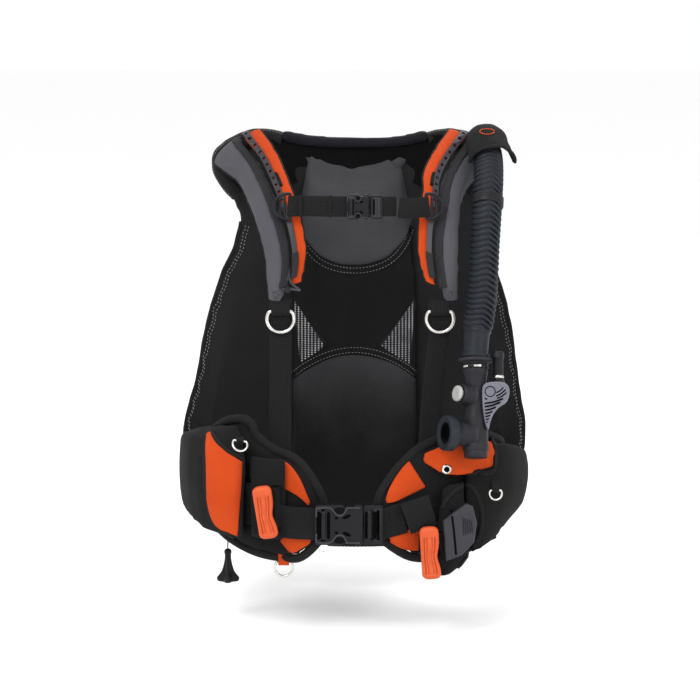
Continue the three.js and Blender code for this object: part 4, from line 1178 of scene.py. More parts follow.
def shoulder_webbing(side):
    word, x = WORD[side], WEB_X[side]
    low = 90 if side == LEFT else -92
    band = strap(f"webbing_{word}", mm([(x, -220, 72), (x, -221, 62), (x, -221, 50), (x, -219.6, 30),
                                        (x * 0.4 + low * 0.6, -224, -50), (low, -244, -130)]),
                 27 * MM, 2.2 * MM, (1, 0, 0), count=110)
    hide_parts(f"shoulder_webbing_{word}")
    ring = wire_ring(f"d_ring_{word}", 16.5, 2.2, 9, (x, RING_Y, RING_Z), body=f"ring_{word}",
                     node=f"shoulder_ring_{word}")
    loop = mm([(x, RING_Y + 4.0, RING_Z + 14), (x, RING_Y - 0.8, RING_Z + 7), (x, RING_Y - 4.1, RING_Z),
               (x, RING_Y, RING_Z - 4.1), (x, RING_Y + 4.1, RING_Z - 1), (x, RING_Y + 3.6, RING_Z + 8)])
    strap(f"ring_loop_{word}", loop, 23 * MM, 1.5 * MM, (1, 0, 0), count=60)
    for row, rise in enumerate((9.0, 12.0, -9.0, -13.0)):
        y = RING_Y + (0.5 if rise > 0 else 2.2)
        ends = mm([(x - 9, y, RING_Z + rise), (x, y - 0.2, RING_Z + rise), (x + 9, y, RING_Z + rise)])
        line = smooth_line(ends, 20)
        stitch_row(f"ring_loop_stitches_{word}_{row}", line, np.broadcast_to([0.0, -1.0, 0.0], line.shape),
                   THREAD_DARK, long=1.8 * MM, gap=0.9 * MM)
    return ring


def slider(side):
    """The chest strap's ladder slider, hooked on the shoulder rail: a hoop tapering to the outside."""
    x = side * 88 + (8 if side == LEFT else 0)
    out = side

    def at(across, rise, y=-220.5):
        return (x + out * across, y, CHEST_Z + rise)
    corners = [at(-8, -15), at(0, -14), at(8, -8), at(10, 0), at(8, 8), at(0, 14), at(-8, 15), at(-9.5, 13),
               at(-9.5, 0, -221.5), at(-9.5, -13)]
    hoop = tube(f"chest_slider_{WORD[side]}_hoop", mm(corners), 2.0 * MM, PLASTIC, sides=10, count=90,
                closed=True)
    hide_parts(f"chest_slider_{WORD[side]}")
    for k, step in enumerate((-2.6, 3.0)):
        tube(f"chest_slider_{WORD[side]}_bar_{k}", mm([at(step, -12.5 + 2 * k), at(step, 0, -221.4),
                                                       at(step, 12.5 - 2 * k)]),
             1.5 * MM, PLASTIC, sides=8, count=12)


def dress_straps():
    right = strap("chest_webbing_right", mm([(-81, -222.6, 186), (-78, -224.4, 186),
                                             (-60, -227, 187), (-36, -233, 187), (-9.5, -236.5, 187)]),
                  25 * MM, 2.0 * MM, count=70)
    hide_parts("chest_strap_right")
    left = strap("chest_webbing_left", mm([(90, -223.0, 186), (86, -225.4, 185.6),
                                           (74, -231.6, 185), (62, -237.4, 185), (53, -239.8, 186)]),
                 25 * MM, 2.0 * MM, count=60)
    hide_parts("chest_strap_left")
    tongue = strap("chest_webbing_tongue", mm([(31, -238, 187), (34.2, -237, 187), (39, -234.6, 187),
                                               (50, -232.4, 187)]), 24 * MM, 2.0 * MM, body="chest_plug",
                   count=24)
    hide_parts("chest_strap_tongue")
    for x in (-66, -30):
        keeper = mm([(x, -228.6 - (x + 66) * 0.16, 200.5), (x, -230.6 - (x + 66) * 0.16, 187),
                     (x, -228.6 - (x + 66) * 0.16, 173.5)])
        strap(f"chest_keeper_{'outer' if x < -50 else 'inner'}", keeper, 4 * MM, 1.3 * MM, (1, -0.16, 0),
              count=24)
    belt_right = strap("belt_webbing_right", mm([(-98, -289, -189), (-83.4, -292, -191), (-72, -293.6, -192),
                                                 (-60, -296, -192), (-44, -299.5, -192)]), 40 * MM, 2.4 * MM,
                       count=50)
    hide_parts("waist_belt_right")
    belt_left = strap("belt_webbing_left", mm([(61, -301.6, -185.2), (66, -301.8, -183.4),
                                               (78, -301.2, -179.4), (94, -297.6, -174.5)]), 40 * MM,
                                               2.4 * MM, count=40)
    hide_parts("waist_belt_left")
    belt_tongue = strap("belt_webbing_tongue", mm([(30, -299, -192.6), (35.2, -296.5, -192),
                                                   (41, -293.6, -191.2),
                                                        (49, -292.3, -189), (59, -291.8, -186)]), 38 * MM,
                                                        2.4 * MM,
                        body="waist_plug", count=36)
    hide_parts("waist_belt_tongue")
    for side in (RIGHT, LEFT):
        shoulder_webbing(side)
        slider(side)


dress_straps()

# ---- buckles ---------------------------------------------------------------------------------

# Each black moulding, the body that it rides on and the rounding of its corners.
RIGID = (
    ("chest_buckle_socket", "vest", 0.7), ("chest_buckle_plug", "chest_plug", 0.5),
    ("waist_buckle_socket", "vest", 1.1), ("waist_buckle_plug", "waist_plug", 0.9),
    ("waist_prong_upper", "waist_arm_upper", 0.5), ("waist_prong_lower", "waist_arm_lower", 0.5),
    ("backplate", "vest", 1.2), ("cam_buckle_frame", "vest", 0.6), ("cam_buckle_lever", "cam_lever", 0.7),
    ("shoulder_elbow", "vest", 0.6),
)
moulding = {node: refined(node, PLASTIC, body, bevel=corner * MM) for node, body, corner in RIGID}
refined("cam_buckle_pin", STEEL, "vest", bevel=0.4 * MM)
housing = refined("latch_housing", GREY_MOULD, "vest", bevel=1.6 * MM)
refined("tank_band", WEB_BLACK, "vest", bevel=0.4 * MM)


def inlay(name, pieces, outline, paint, body="vest", proud=0.25, count=44):
    """A thin pocket of painted shade set in the front of a moulding, from an outline of X and Z in
    millimetres.
    """
    line, _ = seen_from_front(tree_of(*pieces), outline, count, 0.0, True)
    face = line[:, 1].min() - proud * MM
    rings = []
    for depth in (0.0, 0.9 * MM):
        rings.append([(x, face + depth, z) for x, _, z in line])
    return loft(name, rings, paint, body, sharp=40)


def around(x, z, half_wide, half_high, lean=0.0, corner=3.2):
    """A rounded outline about a point, leaned by degrees."""
    a = math.radians(lean)
    outline = []
    for k in range(20):
        t = 2 * math.pi * k / 20
        c, s = math.cos(t), math.sin(t)
        dx = half_wide * math.copysign(abs(c) ** (2 / corner), c)
        dz = half_high * math.copysign(abs(s) ** (2 / corner), s)
        outline.append((x + dx * math.cos(a) - dz * math.sin(a), z + dx * math.sin(a) + dz * math.cos(a)))
    return outline


def buckle_details(prefix, socket, plug, centre, size, plug_body):
    """Slots, spring-arm windows and raised rim of a side-release buckle; its half size in millimetres. The
    slots, windows, eyes and tears are painted shade.
    """
    x, z = centre
    wide, high = size
    slot_high = high * 0.8
    for k, (dx, half) in enumerate(((-0.90, 0.10), (-0.47, 0.075))):
        inlay(f"{prefix}_socket_slot_{k}", [socket], around(x + dx * wide, z, half * wide, slot_high,
                                                            corner=8),
              PAINTED_SHADE_BLACK)
    tube(f"{prefix}_socket_bar", mm([(x - 0.69 * wide, SLOT_Y[prefix], z - slot_high),
                                     (x - 0.69 * wide, SLOT_Y[prefix] - 1.2, z),
                                     (x - 0.69 * wide, SLOT_Y[prefix], z + slot_high)]), 0.1 * wide * MM,
                                     PLASTIC,
         sides=12, count=16)
    for up, word in ((1, "upper"), (-1, "lower")):
        inlay(f"{prefix}_socket_window_{word}", [socket], around(x + 0.02 * wide, z + up * high * 0.86,
                                                                 0.26 * wide,
                                                               0.19 * high, corner=2), PAINTED_SHADE_NYLON)
        inlay(f"{prefix}_socket_eye_{word}", [socket], around(x - 0.12 * wide, z + up * high * 0.42,
                                                              0.085 * wide,
                                                            0.07 * high, corner=2), PAINTED_SHADE_BLACK)
        inlay(f"{prefix}_socket_tear_{word}", [socket], around(x + 0.33 * wide, z + up * high * 0.5,
                                                               0.2 * wide,
                                                             0.10 * high, up * 24, 2), PAINTED_SHADE_BLACK)
        rim = [(x - wide, z + up * high * 0.5), (x - wide, z + up * high * 0.93), (x - 0.85 * wide,
                                                                                   z + up * high),
               (x - 0.42 * wide, z + up * high), (x - 0.26 * wide, z + up * high * 0.84),
               (x - 0.12 * wide, z + up * high * 0.62), (x + 0.05 * wide, z + up * high * 0.56),
               (x + 0.2 * wide, z + up * high * 0.66), (x + 0.3 * wide, z + up * high * 0.9),
               (x + 0.4 * wide, z + up * high), (x + 0.9 * wide, z + up * high)]
        line, _ = seen_from_front(tree_of(socket), rim, 60)
        line[:, 1] = line[:, 1].min()
        loft(f"{prefix}_socket_rim_{word}", round_rings(line, 0.034 * wide * MM, 8), GREY_MOULD)
    for k, (dx, half) in enumerate(((0.06, 0.07), (0.44, 0.09))):
        inlay(f"{prefix}_plug_slot_{k}", [plug], around(x + wide * (1.12 + dx), z, half * wide, slot_high,
                                                        corner=8),
              PAINTED_SHADE_BLACK, plug_body)
    for k, dx in enumerate((1.30, 1.36)):
        tube(f"{prefix}_plug_bar_{k}", mm([(x + dx * wide, PLUG_Y[prefix], z - slot_high),
                                           (x + dx * wide, PLUG_Y[prefix] - 1.0, z),
                                           (x + dx * wide, PLUG_Y[prefix], z + slot_high)]),
                                           0.06 * wide * MM, PLASTIC,
             plug_body, sides=10, count=16)


SLOT_Y = {"waist": -305.6, "chest": -241.8}
PLUG_Y = {"waist": -304.2, "chest": -241.3}
buckle_details("waist", moulding["waist_buckle_socket"], moulding["waist_buckle_plug"], (-19, -192),
               (27.5, 21.5), "waist_plug")
buckle_details("chest", moulding["chest_buckle_socket"], moulding["chest_buckle_plug"], (3.5, 187),
               (12.5, 12.5), "chest_plug")

housing_tree = tree_of(housing)
seam, seam_up = seen_from_front(housing_tree, [(116, -173), (118, -188), (120, -205), (122, -227)], 40)
# The seam's gap is a tape of painted shade.
tape("housing_seam", seam, seam_up, 2.6 * MM, 0.8 * MM, PAINTED_SHADE_BLACK)
for step in range(5):
    rib_x = 129.5 + step * 2.6
    rib, rib_up = seen_from_front(housing_tree, [(rib_x, -181 - step), (rib_x + 1, -192),
                                                 (rib_x + 1.5, -203 + step)],
                                  24)
    tape(f"housing_rib_{step}", rib, rib_up, 1.1 * MM, 1.0 * MM, PLASTIC)

# ---- waist lobes -----------------------------------------------------------------------------

# Half the width and depth of the oval that both lobes follow, and its centre along Y.
LOBE = {"a": 185, "b": 122, "y": -165}
# Degrees forward of the side, and height, along each edge.
LOBE_EDGES = {
    RIGHT: {"top": [(-6, -122), (12, -102), (30, -80), (42, -72), (47, -77), (50, -92), (58, -106),
                    (67, -116),
                    (73, -136), (78, -168)],
            "bottom": [(-6, -182), (12, -204), (30, -222), (48, -236), (62, -240), (70, -236), (78, -206)]},
    LEFT: {"top": [(-6, -126), (12, -110), (30, -96), (45, -90), (55, -92), (65, -103), (71, -118),
                   (76, -136),
                   (81, -164)],
           "bottom": [(-6, -182), (12, -204), (30, -222), (48, -238), (64, -240), (73, -230), (81, -205)]},
}


def waist_point(side, degrees, z):
    """A place on the round front of a lobe, from degrees forward of the diver's side."""
    a = math.radians(degrees)
    return np.array([side * LOBE["a"] * math.cos(a), LOBE["y"] - LOBE["b"] * math.sin(a), z]) * MM


def dress_lobe(side):
    word = WORD[side]
    lobe = stuffed(f"waist_wrap_{word}", f"waist_lobe_{word}", BLACK_NYLON, voxel=4.5 * MM, pressure=3.0,
                   cap=2 * MM, rounds=3, crease=1.5 * MM, scale=22.0)
    edges = LOBE_EDGES[side]
    round_front = edges["top"] + edges["bottom"][::-1]
    path = smooth_line([waist_point(side, t, z) for t, z in round_front], 150)
    normals = path - np.array([0.0, LOBE["y"] * MM, 0.0])
    normals[:, 2] = 0
    normals = unit(normals / np.array([LOBE["a"] ** 2, LOBE["b"] ** 2, 1.0]) * 1e4)
    rim_tape(f"waist_binding_{word}", path, normals, 11 * MM, 9 * MM)
    return lobe


lobes = {side: dress_lobe(side) for side in (RIGHT, LEFT)}
lobe_tree = {side: tree_of(lobes[side]) for side in lobes}


def waist_gusset(side, tree, up=20, along=14, thick=6 * MM):
    """The padded cloth web that carries a waist lobe back to the air cell."""
    middle = np.empty((up + 1, along + 1, 3))
    half = np.zeros_like(middle)
    for j in range(up + 1):
        v = j / up
        z_back = -205 + 97 * v
        hit, _ = struck(tree, side * 178 * MM, z_back * MM)
        depth = -100 * MM if hit is None else hit.y
        start = np.array([side * 181 * MM, -166 * MM, (-178 + 53 * v) * MM])
        end = np.array([side * 178 * MM, depth + 12 * MM, z_back * MM])
        for i in range(along + 1):
            u = i / along
            middle[j, i] = start + (end - start) * u
            middle[j, i, 0] += side * 3 * MM * math.sin(math.pi * u)
            half[j, i, 0] = thick / 2 * math.sqrt(max(0.04, 1 - (2 * v - 1) ** 4))
    panel = slab(f"waist_gusset_{WORD[side]}", middle + half, middle - half, BLACK_NYLON)


for side in (RIGHT, LEFT):
    waist_gusset(side, tree_of(bladder))

# The orange lining that shows between the belt and the binding: its side, low edge and high edge.
LININGS = {
    "right_upper": (RIGHT, [(-90, -151), (-78, -156), (-66, -163), (-56, -172)],
                    [(-97, -122), (-84, -119), (-68, -136), (-54, -168)]),
    "right_lower": (RIGHT, [(-91, -217), (-78, -232), (-66, -226), (-54, -218)],
                    [(-84, -204), (-77, -203), (-64, -208), (-53, -211)]),
    "left_upper": (LEFT, [(38, -168), (50, -166), (64, -160), (86, -150)],
                   [(37, -163), (44, -146), (56, -127), (66, -117)]),
    "left_lower": (LEFT, [(43, -216), (55, -224), (66, -228), (78, -229)],
                   [(41, -208), (52, -205), (64, -202), (79, -198)]),
}
for where, (side, low, high) in LININGS.items():
    quilt(f"lining_{where}", lobe_tree[side], low, high, 2.4 * MM, ORANGE_NYLON, across=30, up=24,
          edge=2.5 * MM, swell=0.6 * MM)

# ---- pockets and weight system ---------------------------------------------------------------

pocket, sleeve = {}, {}
for side in (RIGHT, LEFT):
    pocket[side] = stuffed(f"cargo_pocket_{WORD[side]}", f"pocket_{WORD[side]}", BLACK_NYLON, rounds=3,
                           crease=2.2 * MM, scale=20.0, shrink=0.8 * MM)
for side in (RIGHT, LEFT):
    sleeve[side] = stuffed(f"weight_sleeve_cover_{WORD[side]}", f"weight_sleeve_{WORD[side]}", BLACK_NYLON,
                           voxel=3.5 * MM, pressure=3.0, cap=1.5 * MM, rounds=2, crease=1.0 * MM,
                           shrink=0.5 * MM)
for side in (RIGHT, LEFT):
    stuffed(f"pouch_{WORD[side]}", f"weight_pouch_{WORD[side]}", BLACK_NYLON, f"weight_{WORD[side]}",
            voxel=3 * MM, pressure=0, rounds=2, crease=0.4 * MM, shrink=0.3 * MM)

left_cover = tree_of(sleeve[LEFT], pocket[LEFT])
lip, lip_up = seen_from_front(left_cover, [(106, -174), (112, -162), (122, -153), (137, -149), (149, -160),
                                           (155, -186), (150, -216), (131, -242), (118, -256)], 110)
tape("sleeve_lip_left", lip, lip_up, 5.2 * MM, 2.6 * MM)
strap("pouch_tail_left", mm([(97, -302.4, -247), (104, -302, -239), (114, -301, -229)]), 15 * MM, 2.4 * MM,
      paint=BLACK_NYLON, body="weight_left", count=20)
PANEL_LOW = [(-180, -164), (-174, -190), (-165, -203), (-153, -207), (-141, -211)]
PANEL_HIGH = [(-181, -92), (-176, -88), (-165, -98), (-152, -107), (-137, -118)]
side_tree = tree_of(pocket[RIGHT], sleeve[RIGHT])
panel = quilt("pocket_panel_cover", side_tree, PANEL_LOW, PANEL_HIGH, 2.6 * MM, ORANGE_NYLON, across=40,
              up=60,
              edge=2 * MM, sink=1.5 * MM, swell=1.2 * MM)
creased(panel, 1.6 * MM, 34.0, (1.6, 1.0, 0.5), 5.0)
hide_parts("pocket_panel")
panel_edge, panel_up = seen_from_front(side_tree, PANEL_HIGH + [(-138, -165)] + PANEL_LOW[::-1] + [(-182,
                                                                                                    -130)],
                                       140, 0.0, True)
tape("pocket_panel_binding", panel_edge, panel_up, 6.5 * MM, 3.6 * MM, closed=True)

flap_core = stuffed("pocket_flap_cover", "pocket_flap", ORANGE_NYLON, voxel=1.6 * MM, pressure=0, rounds=2,
                    crease=1.6 * MM, scale=26.0, levels=0)
FLAP_EDGE = [(84, -109), (97, -102), (110, -98), (138, -97), (162, -97), (170, -104), (171, -116),
             (170, -132),
             (160, -136), (150, -133), (140, -136), (124, -138), (106, -135), (92, -127), (84, -118)]
flap_tree = tree_of(flap_core, pocket[LEFT])
flap_line, flap_up = seen_from_front(flap_tree, FLAP_EDGE, 150, 0.0, True)
tape("pocket_flap_binding", flap_line, flap_up, 6.5 * MM, 4.6 * MM, closed=True, sink=0.45)
spot, spot_up = seen_from_front(flap_tree, [(110, -127), (111, -128), (112, -128)], 3)
spun_ring("flap_grommet", mm([(3.2, -0.5), (5.4, -0.5), (5.8, 0.6), (4.8, 1.4), (3.6, 1.0)]),
          spot[1] + spot_up[1] * MM,
          spot_up[1], STEEL)
# The grommet's hole is a disc of painted shade.
spun("flap_grommet_hole", mm([(0, -1), (3.3, -1), (3.3, 0.4), (0, 0.4)]), spot[1] + spot_up[1] * MM,
     spot_up[1],
     PAINTED_SHADE_BLACK, sides=24)


# Millimetres: a grip's length, half width and depth, the length of its rounded ends, and its waist.
GRIP = {"length": 65, "half_wide": 11.6, "half_deep": 6.0, "end": 7, "waist": 3.4}
GROOVES = (-0.56, -0.28, 0.0, 0.28, 0.56)


def grip(name, node, body, at, lean):
    """A pull grip with a waist on its inner side and an inset panel of lengthwise grooves."""
    rings, sides = 100, 150
    sections = []
    for j in range(rings):
        v = j / (rings - 1) * 2 - 1
        z = v * GRIP["length"] / 2
        past = max(0.0, (abs(z) - (GRIP["length"] / 2 - GRIP["end"])) / GRIP["end"])
        end = math.sqrt(max(0.0, 1 - past ** 2))
        half = GRIP["half_wide"] * (0.3 + 0.7 * end)
        waist = GRIP["waist"] * math.exp(-((z + 5) / 11) ** 2)
        deep = GRIP["half_deep"] * (0.25 + 0.75 * end)
        ring = []
        for k in range(sides):
            a = 2 * math.pi * k / sides
            c, s = math.cos(a), math.sin(a)
            x = half * math.copysign(abs(c) ** 0.55, c)
            x -= waist * max(0.0, x / half) ** 0.7
            y = deep * math.copysign(abs(s) ** 0.55, s)
            if s < 0:
                across = (x + waist * 0.5) / (half - waist * 0.5)
                inset = 1 / (1 + math.exp((abs(across) - 0.72) * 40))
                inset = inset / (1 + math.exp((abs(z + 3) - 23) * 2.5))
                groove = sum(math.exp(-((across - g) / 0.055) ** 2) for g in GROOVES)
                y += inset * (0.3 + 2.0 * groove)
            ring.append((x, y, z))
        sections.append(ring)
    spin = Matrix.Rotation(math.radians(lean), 3, "Y")
    placed = [[tuple(spin @ (Vector(p) * MM) + Vector(at) * MM) for p in ring] for ring in sections]
    piece = loft(name, placed, GRIP_RUBBER, body)
    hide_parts(node)


grip("grip_right", "weight_handle_right", "weight_right", (-108, -312, -174.5), -9)
grip("grip_left", "weight_handle_left", "weight_left", (91, -310, -225), -4)

# ---- small rings and their tabs --------------------------------------------------------------

wire_ring("pocket_loop_right", 9, 1.5, 4.95, (-139, -281, -93), (-40, 0, 15), "pocket_ring_r",
          "pocket_ring_right")
wire_ring("pocket_loop_left", 7.5, 1.3, 4.1, (171, -277, -155), (0, 0, 0), "pocket_ring_l",
          "pocket_ring_left")
wire_ring("hip_loop", 11, 1.6, 6.05, (-87, -274, -246), (0, 0, 0), "hip_ring", "hip_ring")


def ring_tab(name, at, width, tail, wire, paint):
    """A folded webbing tab that holds a small ring's bar."""
    x, y, z = at
    wrap = wire + 1.0
    line = mm([(x, y + wrap + 1.2, z + tail), (x, y + wrap, z + 2), (x, y, z - wrap), (x, y - wrap, z + 1),
               (x, y - 0.4, z + tail)])
    strap(name, line, width * MM, 1.4 * MM, (1, 0, 0), paint, count=44)


ring_tab("hip_tab", (-87, -274, -246), 13, 12, 1.6, ORANGE_NYLON)
ring_tab("pocket_tab_left", (171, -277, -155), 9, 11, 1.3, WEB_BLACK)
ring_tab("pocket_tab_right", (-139, -281, -93), 9, 5, 1.5, WEB_BLACK)

# ---- dump valve, hose flap and inflator ------------------------------------------------------

valve = spun_ring("dump_seat", mm([(1.6, 0), (7.6, 0), (9.6, 2.4), (10, 3), (10, 9), (11.6, 9.6), (12, 10.4),
                                   (12, 14), (1.6, 14)]), mm((DUMP["x"], DUMP["y"], DUMP["seat"])),
                                   (0, 0, 1), PLASTIC)
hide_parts("dump_valve")

INFLATOR = {"at": (146, -254, 3), "lean": -18.5}
LEAN = Matrix.Rotation(math.radians(INFLATOR["lean"]), 3, "X")
MOUTH = {"at": (0, 0, -93), "dir": Vector((-0.9, -0.42, 0)).normalized()}
PUSH = {"at": (0, -2, -46), "dir": Vector((-0.86, -0.5, 0.06)).normalized(), "length": 24}
POST = {"x": 28, "z": -11.6}


def on_inflator(point):
    return LEAN @ Vector(point) * MM + Vector(INFLATOR["at"]) * MM


def arm(name, start, direction, profile, paint, body="vest", ring=False, sides=48):
    """A turned piece of the inflator along an axis in the inflator's own frame."""
    make = spun_ring if ring else spun
    return make(name, mm(profile), tuple(on_inflator(start)), LEAN @ Vector(direction), paint, body, sides)


def make_inflator_body():
    """The upright body with its clamp, foot ring, mouth neck and the boss of the inflate button."""
    spine = arm("inflator_spine", (0, 0, 0), (0, 0, -1),
                [(0, 0), (20.4, 0), (21, 0.6), (21, 3.4), (20.2, 4.2), (16.4, 5.4), (15.6, 7), (14.4, 8),
                 (14, 12),
                 (15.4, 13), (15.6, 17), (14.6, 20), (13.8, 25), (13.5, 28), (13.5, 62), (14, 66),
                 (15.3, 70.5),
                 (15.5, 72), (15.5, 84), (15, 88), (15, 106.4), (14, 108), (0, 108)], BODY_MOULD)
    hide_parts("inflator_body")
    arm("clamp_band", (0, 0, -8.2), (0, 0, -1), [(14, 0), (15.9, 0.3), (16, 0.8), (16, 3.8), (15.9, 4.2),
                                                 (14, 4.4)],
        PLASTIC, ring=True)
    for k, (first, last) in enumerate(((-152, -126), (-98, -66))):
        turns = [math.radians(first + (last - first) * j / 10) for j in range(11)]
        radial = np.array([tuple(LEAN @ Vector((math.cos(a), math.sin(a), 0))) for a in turns])
        line = np.array([tuple(on_inflator((16.1 * math.cos(a), 16.1 * math.sin(a), -10.4))) for a in turns])
        tape(f"clamp_plate_{k}", line, radial, 3.0 * MM, 1.0 * MM, STEEL)
    arm("body_skirt", (0, 0, -104), (0, 0, -1), [(14.9, 0), (15.5, 0.4), (15.9, 1.6), (15.9, 7.6),
                                                 (15.5, 8.2),
                                                (14.9, 8.2)], BODY_MOULD, ring=True)
    arm("mouth_neck", MOUTH["at"], MOUTH["dir"], [(0, 0), (16.6, 4), (16.0, 10), (15.0, 15), (14.6, 21),
                                                  (14.2, 22),
                                                  (0, 22)], BODY_MOULD)
    arm("inflate_boss", PUSH["at"], PUSH["dir"], [(0, 0), (14.6, 5), (14.2, 9), (12.8, 12.6), (12.2, 14.4),
                                                  (12, 19.4),
                                                  (11.2, 20.4), (0, 20.4)], BODY_MOULD)
    arm("inflate_collar", Vector(PUSH["at"]) + PUSH["dir"] * 19, PUSH["dir"],
        [(10, 0), (12.4, 0.4), (12.6, 2.4), (11.8, 3.4), (10.2, 3.2)], PLASTIC, ring=True)


def make_mouthpiece():
    """The flared rubber mouthpiece; the shade in its bore is painted on a disc and a lining."""
    bell = arm("mouthpiece_bell", Vector(MOUTH["at"]) + MOUTH["dir"] * 22.3, MOUTH["dir"],
               [(8, 0), (14.6, 0), (15.2, 0.8), (16, 5), (19.8, 7.4), (21, 9), (21.5, 10.6), (21.5, 19.4),
                (20.8, 20.6),
                (19.4, 21), (15, 21), (13.6, 20.2), (12.6, 18), (12.5, 12), (8, 10)], HOSE_RUBBER,
                ring=True, sides=72)
    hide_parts("mouthpiece")
    arm("mouthpiece_bore_end_shade", Vector(MOUTH["at"]) + MOUTH["dir"] * 21, MOUTH["dir"], [(0, 0), (7.9, 0),
                                                                                   (7.9, 6), (0, 6)],
        PAINTED_SHADE_BLACK, sides=32)
    arm("mouthpiece_bore_shade", Vector(MOUTH["at"]) + MOUTH["dir"] * 22.3, MOUTH["dir"],
        [(12.15, 18.7), (12.7, 18.7), (12.7, 12.1), (8.2, 10.1), (8.2, 1), (7.6, 1), (7.6, 10.4),
         (12.15, 12.5)],
        PAINTED_SHADE_BLACK, ring=True)


def make_buttons():
    key = arm("inflate_key", Vector(PUSH["at"]) + PUSH["dir"] * (PUSH["length"] - 8), PUSH["dir"],
              [(0, 0), (6, 0), (6, 7), (8.6, 7.5), (9.4, 8.2), (9.5, 9), (9.5, 11.0), (9.0, 11.9),
               (7.8, 12.5),
               (5, 12.4), (3, 12.2), (0, 12.1)], PALE_MOULD, "inflate_key")
    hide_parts("inflate_button")
    low = arm("deflate_key", (0, 0, -103.5), (0, 0, -1),
              [(0, 0), (8, 0), (8, 7.2), (13.6, 7.4), (14.4, 8.2), (14.4, 15.6), (13.9, 16.8), (12.8, 17.5),
               (0, 17.5)],
              BODY_MOULD, "deflate_key")
    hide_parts("deflate_button")


def make_connector():
    """The hose nipple on the side arm, with its boot, ring and ribbed cap."""
    post = arm("connect_nipple", (POST["x"], 0, POST["z"]), (0, 0, 1),
               [(0, -22), (6, -22), (6, -13.4), (5.4, -12.2), (4, -10), (4, 18), (3, 20.6), (0, 20.6)], STEEL)
    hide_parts("quick_connect_post")
    arm("connect_boot", (POST["x"], 0, POST["z"] - 20), (0, 0, 1), [(5.4, 0), (7.6, 0.4), (7.8, 1.2),
                                                                    (7.8, 4), (6.6, 5),
                                                                   (6.4, 7.4), (4.2, 7.4)], PLASTIC,
                                                                   ring=True)
    arm("connect_ring", (POST["x"], 0, POST["z"] - 12.4), (0, 0, 1), [(4.1, 0), (6.6, 0.3), (6.8, 1.0),
                                                                      (6.8, 2.6),
                                                                     (6.4, 3.2), (4.1, 3.2)], STEEL,
                                                                     ring=True)
    arm("connect_cap", (POST["x"], 0, POST["z"] - 9.1), (0, 0, 1),
        [(4.1, 0), (5.9, 0.2), (6.1, 1), (6.1, 20.4), (6.4, 21), (7.0, 21.6), (7.0, 28), (6.6, 29),
         (4.8, 29.8),
         (4.1, 29.8)], PLASTIC, ring=True)
    for k in range(8):
        a = 2 * math.pi * k / 8
        rib = [on_inflator((POST["x"] + 6.8 * math.cos(a), 6.8 * math.sin(a),
                            POST["z"] + h)) for h in (13.4, 16, 18.4)]
        tube(f"connect_cap_rib_{k}", [tuple(p) for p in rib], 0.8 * MM, PLASTIC, sides=6, count=5)


LEAF = [(7.4, -40), (9.5, -34), (14.5, -31), (25.5, -30), (35, -31.5), (40.2, -38), (39.8, -48), (36, -54),
        (28.5, -59), (22, -67), (17.5, -78), (14.5, -88), (10.5, -80), (8.4, -66), (7.4, -52)]
LEAF_BOSS = (17.0, -42.5)
# Each vent from its root to its tip, X and Z in the inflator's frame, and its width.
LEAF_VENTS = [(24.2, -44, 33, -37.6, 1.4), (24.2, -48, 35.5, -40.4, 1.6), (25.4, -50.8, 36.4, -44, 1.6),
              (10.4, -51, 13.2, -52.2, 1.8), (10.2, -57.2, 32.4, -51.4, 2.1), (10.4, -61.2, 29, -55.6, 2.2),
              (10.6, -65.4, 23.6, -61.6, 2.1), (10.8, -69.4, 19.4, -66.9, 2.0), (11, -73.2, 16.8, -71.4, 1.8),
              (11.4, -76.8, 15.2, -75.6, 1.6), (11.8, -80.2, 14, -79.4, 1.3)]


def make_leaf():
    """The leaf-shaped cover with its curved vents and a plain round boss; the vents and the ring round the
    boss are painted shade.
    """
    outline = smooth_line(np.array(LEAF, float), 110, True)
    centre = outline.mean(axis=0)
    sections = []
    for scale, y in ((0.9, 8.0), (1.0, 6.4), (1.0, -14.6), (0.985, -16.2), (0.95, -17.0), (0.90, -17.1),
                     (0.5, -17.4)):
        ring = centre + (outline - centre) * scale
        sections.append([tuple(on_inflator((x, y, z))) for x, z in ring])
    leaf = loft("valve_leaf", sections, LEAF_MOULD, sharp=45)
    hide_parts("valve_cover")
    leaf_tree = tree_of(leaf)
    for k, (x0, z0, x1, z1, wide) in enumerate(LEAF_VENTS):
        places = [on_inflator((x, -17.5, z)) for x, z in ((x0, z0), (x0 + (x1 - x0) * 0.5,
                                                                     z0 + (z1 - z0) * 0.34),
                                                          (x1, z1))]
        line, normals = seen_from_front(leaf_tree, [(place[0] / MM, place[2] / MM) for place in places], 18)
        tape(f"leaf_vent_{k}", line, normals, wide * MM, 0.8 * MM, PAINTED_SHADE_BLACK)
    arm("leaf_boss", (LEAF_BOSS[0], -17.0, LEAF_BOSS[1]), (0, -1, 0),
        [(5.6, 0), (6.6, 0.1), (6.6, 0.7), (5.6, 0.7)], PAINTED_SHADE_BLACK, ring=True)


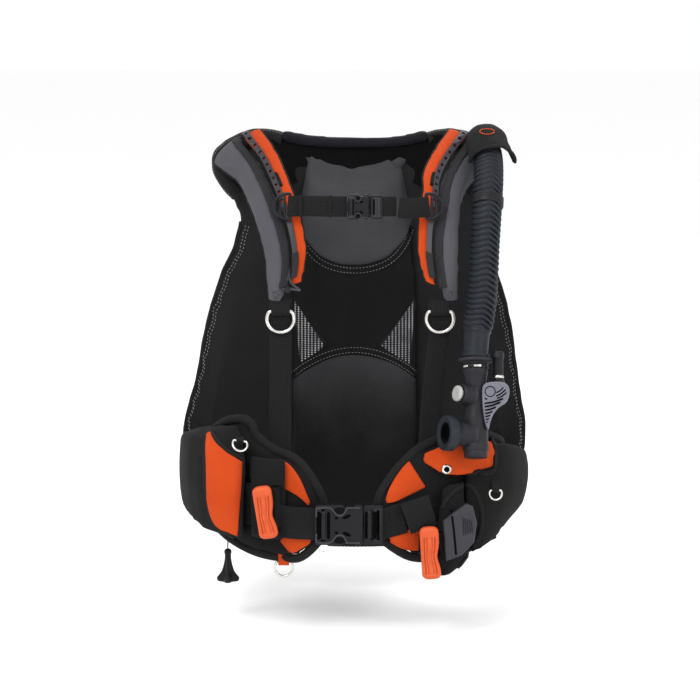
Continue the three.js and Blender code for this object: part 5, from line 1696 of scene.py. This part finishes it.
def make_hose_flap():
    """The draped fabric cover over the top of the hose, with a turned hem and a plain stitched oval."""
    line = smooth_line(mm([(164, -104, 252), (164.6, -120, 251), (165.6, -134, 243.5), (167.5, -152, 232)]),
                       28)
    along = tangents(line)
    grids = []
    for lift in (24.5, 22.0):
        rows = []
        for i, centre in enumerate(line):
            v = i / (len(line) - 1)
            side = np.array([1.0, 0.0, 0.0])
            up = unit(-np.cross(side, along[i]))
            side = unit(-np.cross(along[i], up))
            row = []
            for k in range(37):
                a = math.radians(-80 + 170 * k / 36)
                flare = 1 + 0.22 * max(0.0, math.sin(a)) * v
                radius = (lift + 2 * math.cos(a) + 1.2 * noise.noise(Vector((k * 0.16, i * 0.11,
                                                                             2.0)))) * MM * flare
                row.append(centre + up * radius * math.cos(a) + side * 1.04 * radius * math.sin(a))
            rows.append(row)
        grids.append(np.array(rows))
    outer, inner = grids
    flap = slab("hose_cover", outer, inner, BLACK_NYLON)
    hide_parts("hose_flap")
    out = unit(outer[-1] - inner[-1])
    rim_tape("hose_cover_hem", outer[-1], out, 5.5 * MM, 4 * MM)
    stitch_row("hose_cover_stitches", outer[-4] + out * 0.2 * MM, out, THREAD_DARK)
    tree = tree_of(flap)
    oval = [(164.5 + 9.0 * math.cos(a), 270.5 + 3.0 * math.sin(a))
            for a in np.linspace(0, 2 * math.pi, 24, endpoint=False)]
    ring, ring_up = seen_from_front(tree, oval, 60, 0.1 * MM, True)
    ring = np.concatenate([ring, ring[:1]])
    ring_up = np.concatenate([ring_up, ring_up[:1]])
    stitch_row("hose_cover_oval", ring, ring_up, THREAD_ORANGE, long=2.2 * MM, gap=0.3 * MM, thick=0.8 * MM)


def make_hose_keeper():
    """The rubber band clipped round the hose below the shoulder."""
    stops = 200
    path = smooth_line(HOSE_ROUTE, stops)
    place = int(0.30 * stops)
    centre, axis = path[place], tangents(path)[place]
    spun_ring("hose_keeper", mm([(18.4, -6), (19.8, -5.6), (20.0, -4.8), (20.0, 4.8), (19.8, 5.6),
                                 (18.4, 6)]),
              centre, axis, PLASTIC, sides=64)


make_inflator_body()
make_mouthpiece()
make_buttons()
make_connector()
make_leaf()
make_hose_flap()
make_hose_keeper()

# ---- floor -----------------------------------------------------------------------------------


def make_floor():
    """A wide pale floor."""
    reach = 14.0
    steps = np.linspace(-reach, reach, 29)
    points = [(x, y, FLOOR_Z) for y in steps for x in steps]
    count = len(steps)
    faces = [(j * count + i, j * count + i + 1, (j + 1) * count + i + 1, (j + 1) * count + i)
             for j in range(count - 1) for i in range(count - 1)]
    build("studio_floor", points, faces, studio_floor(), body=None)


make_floor()
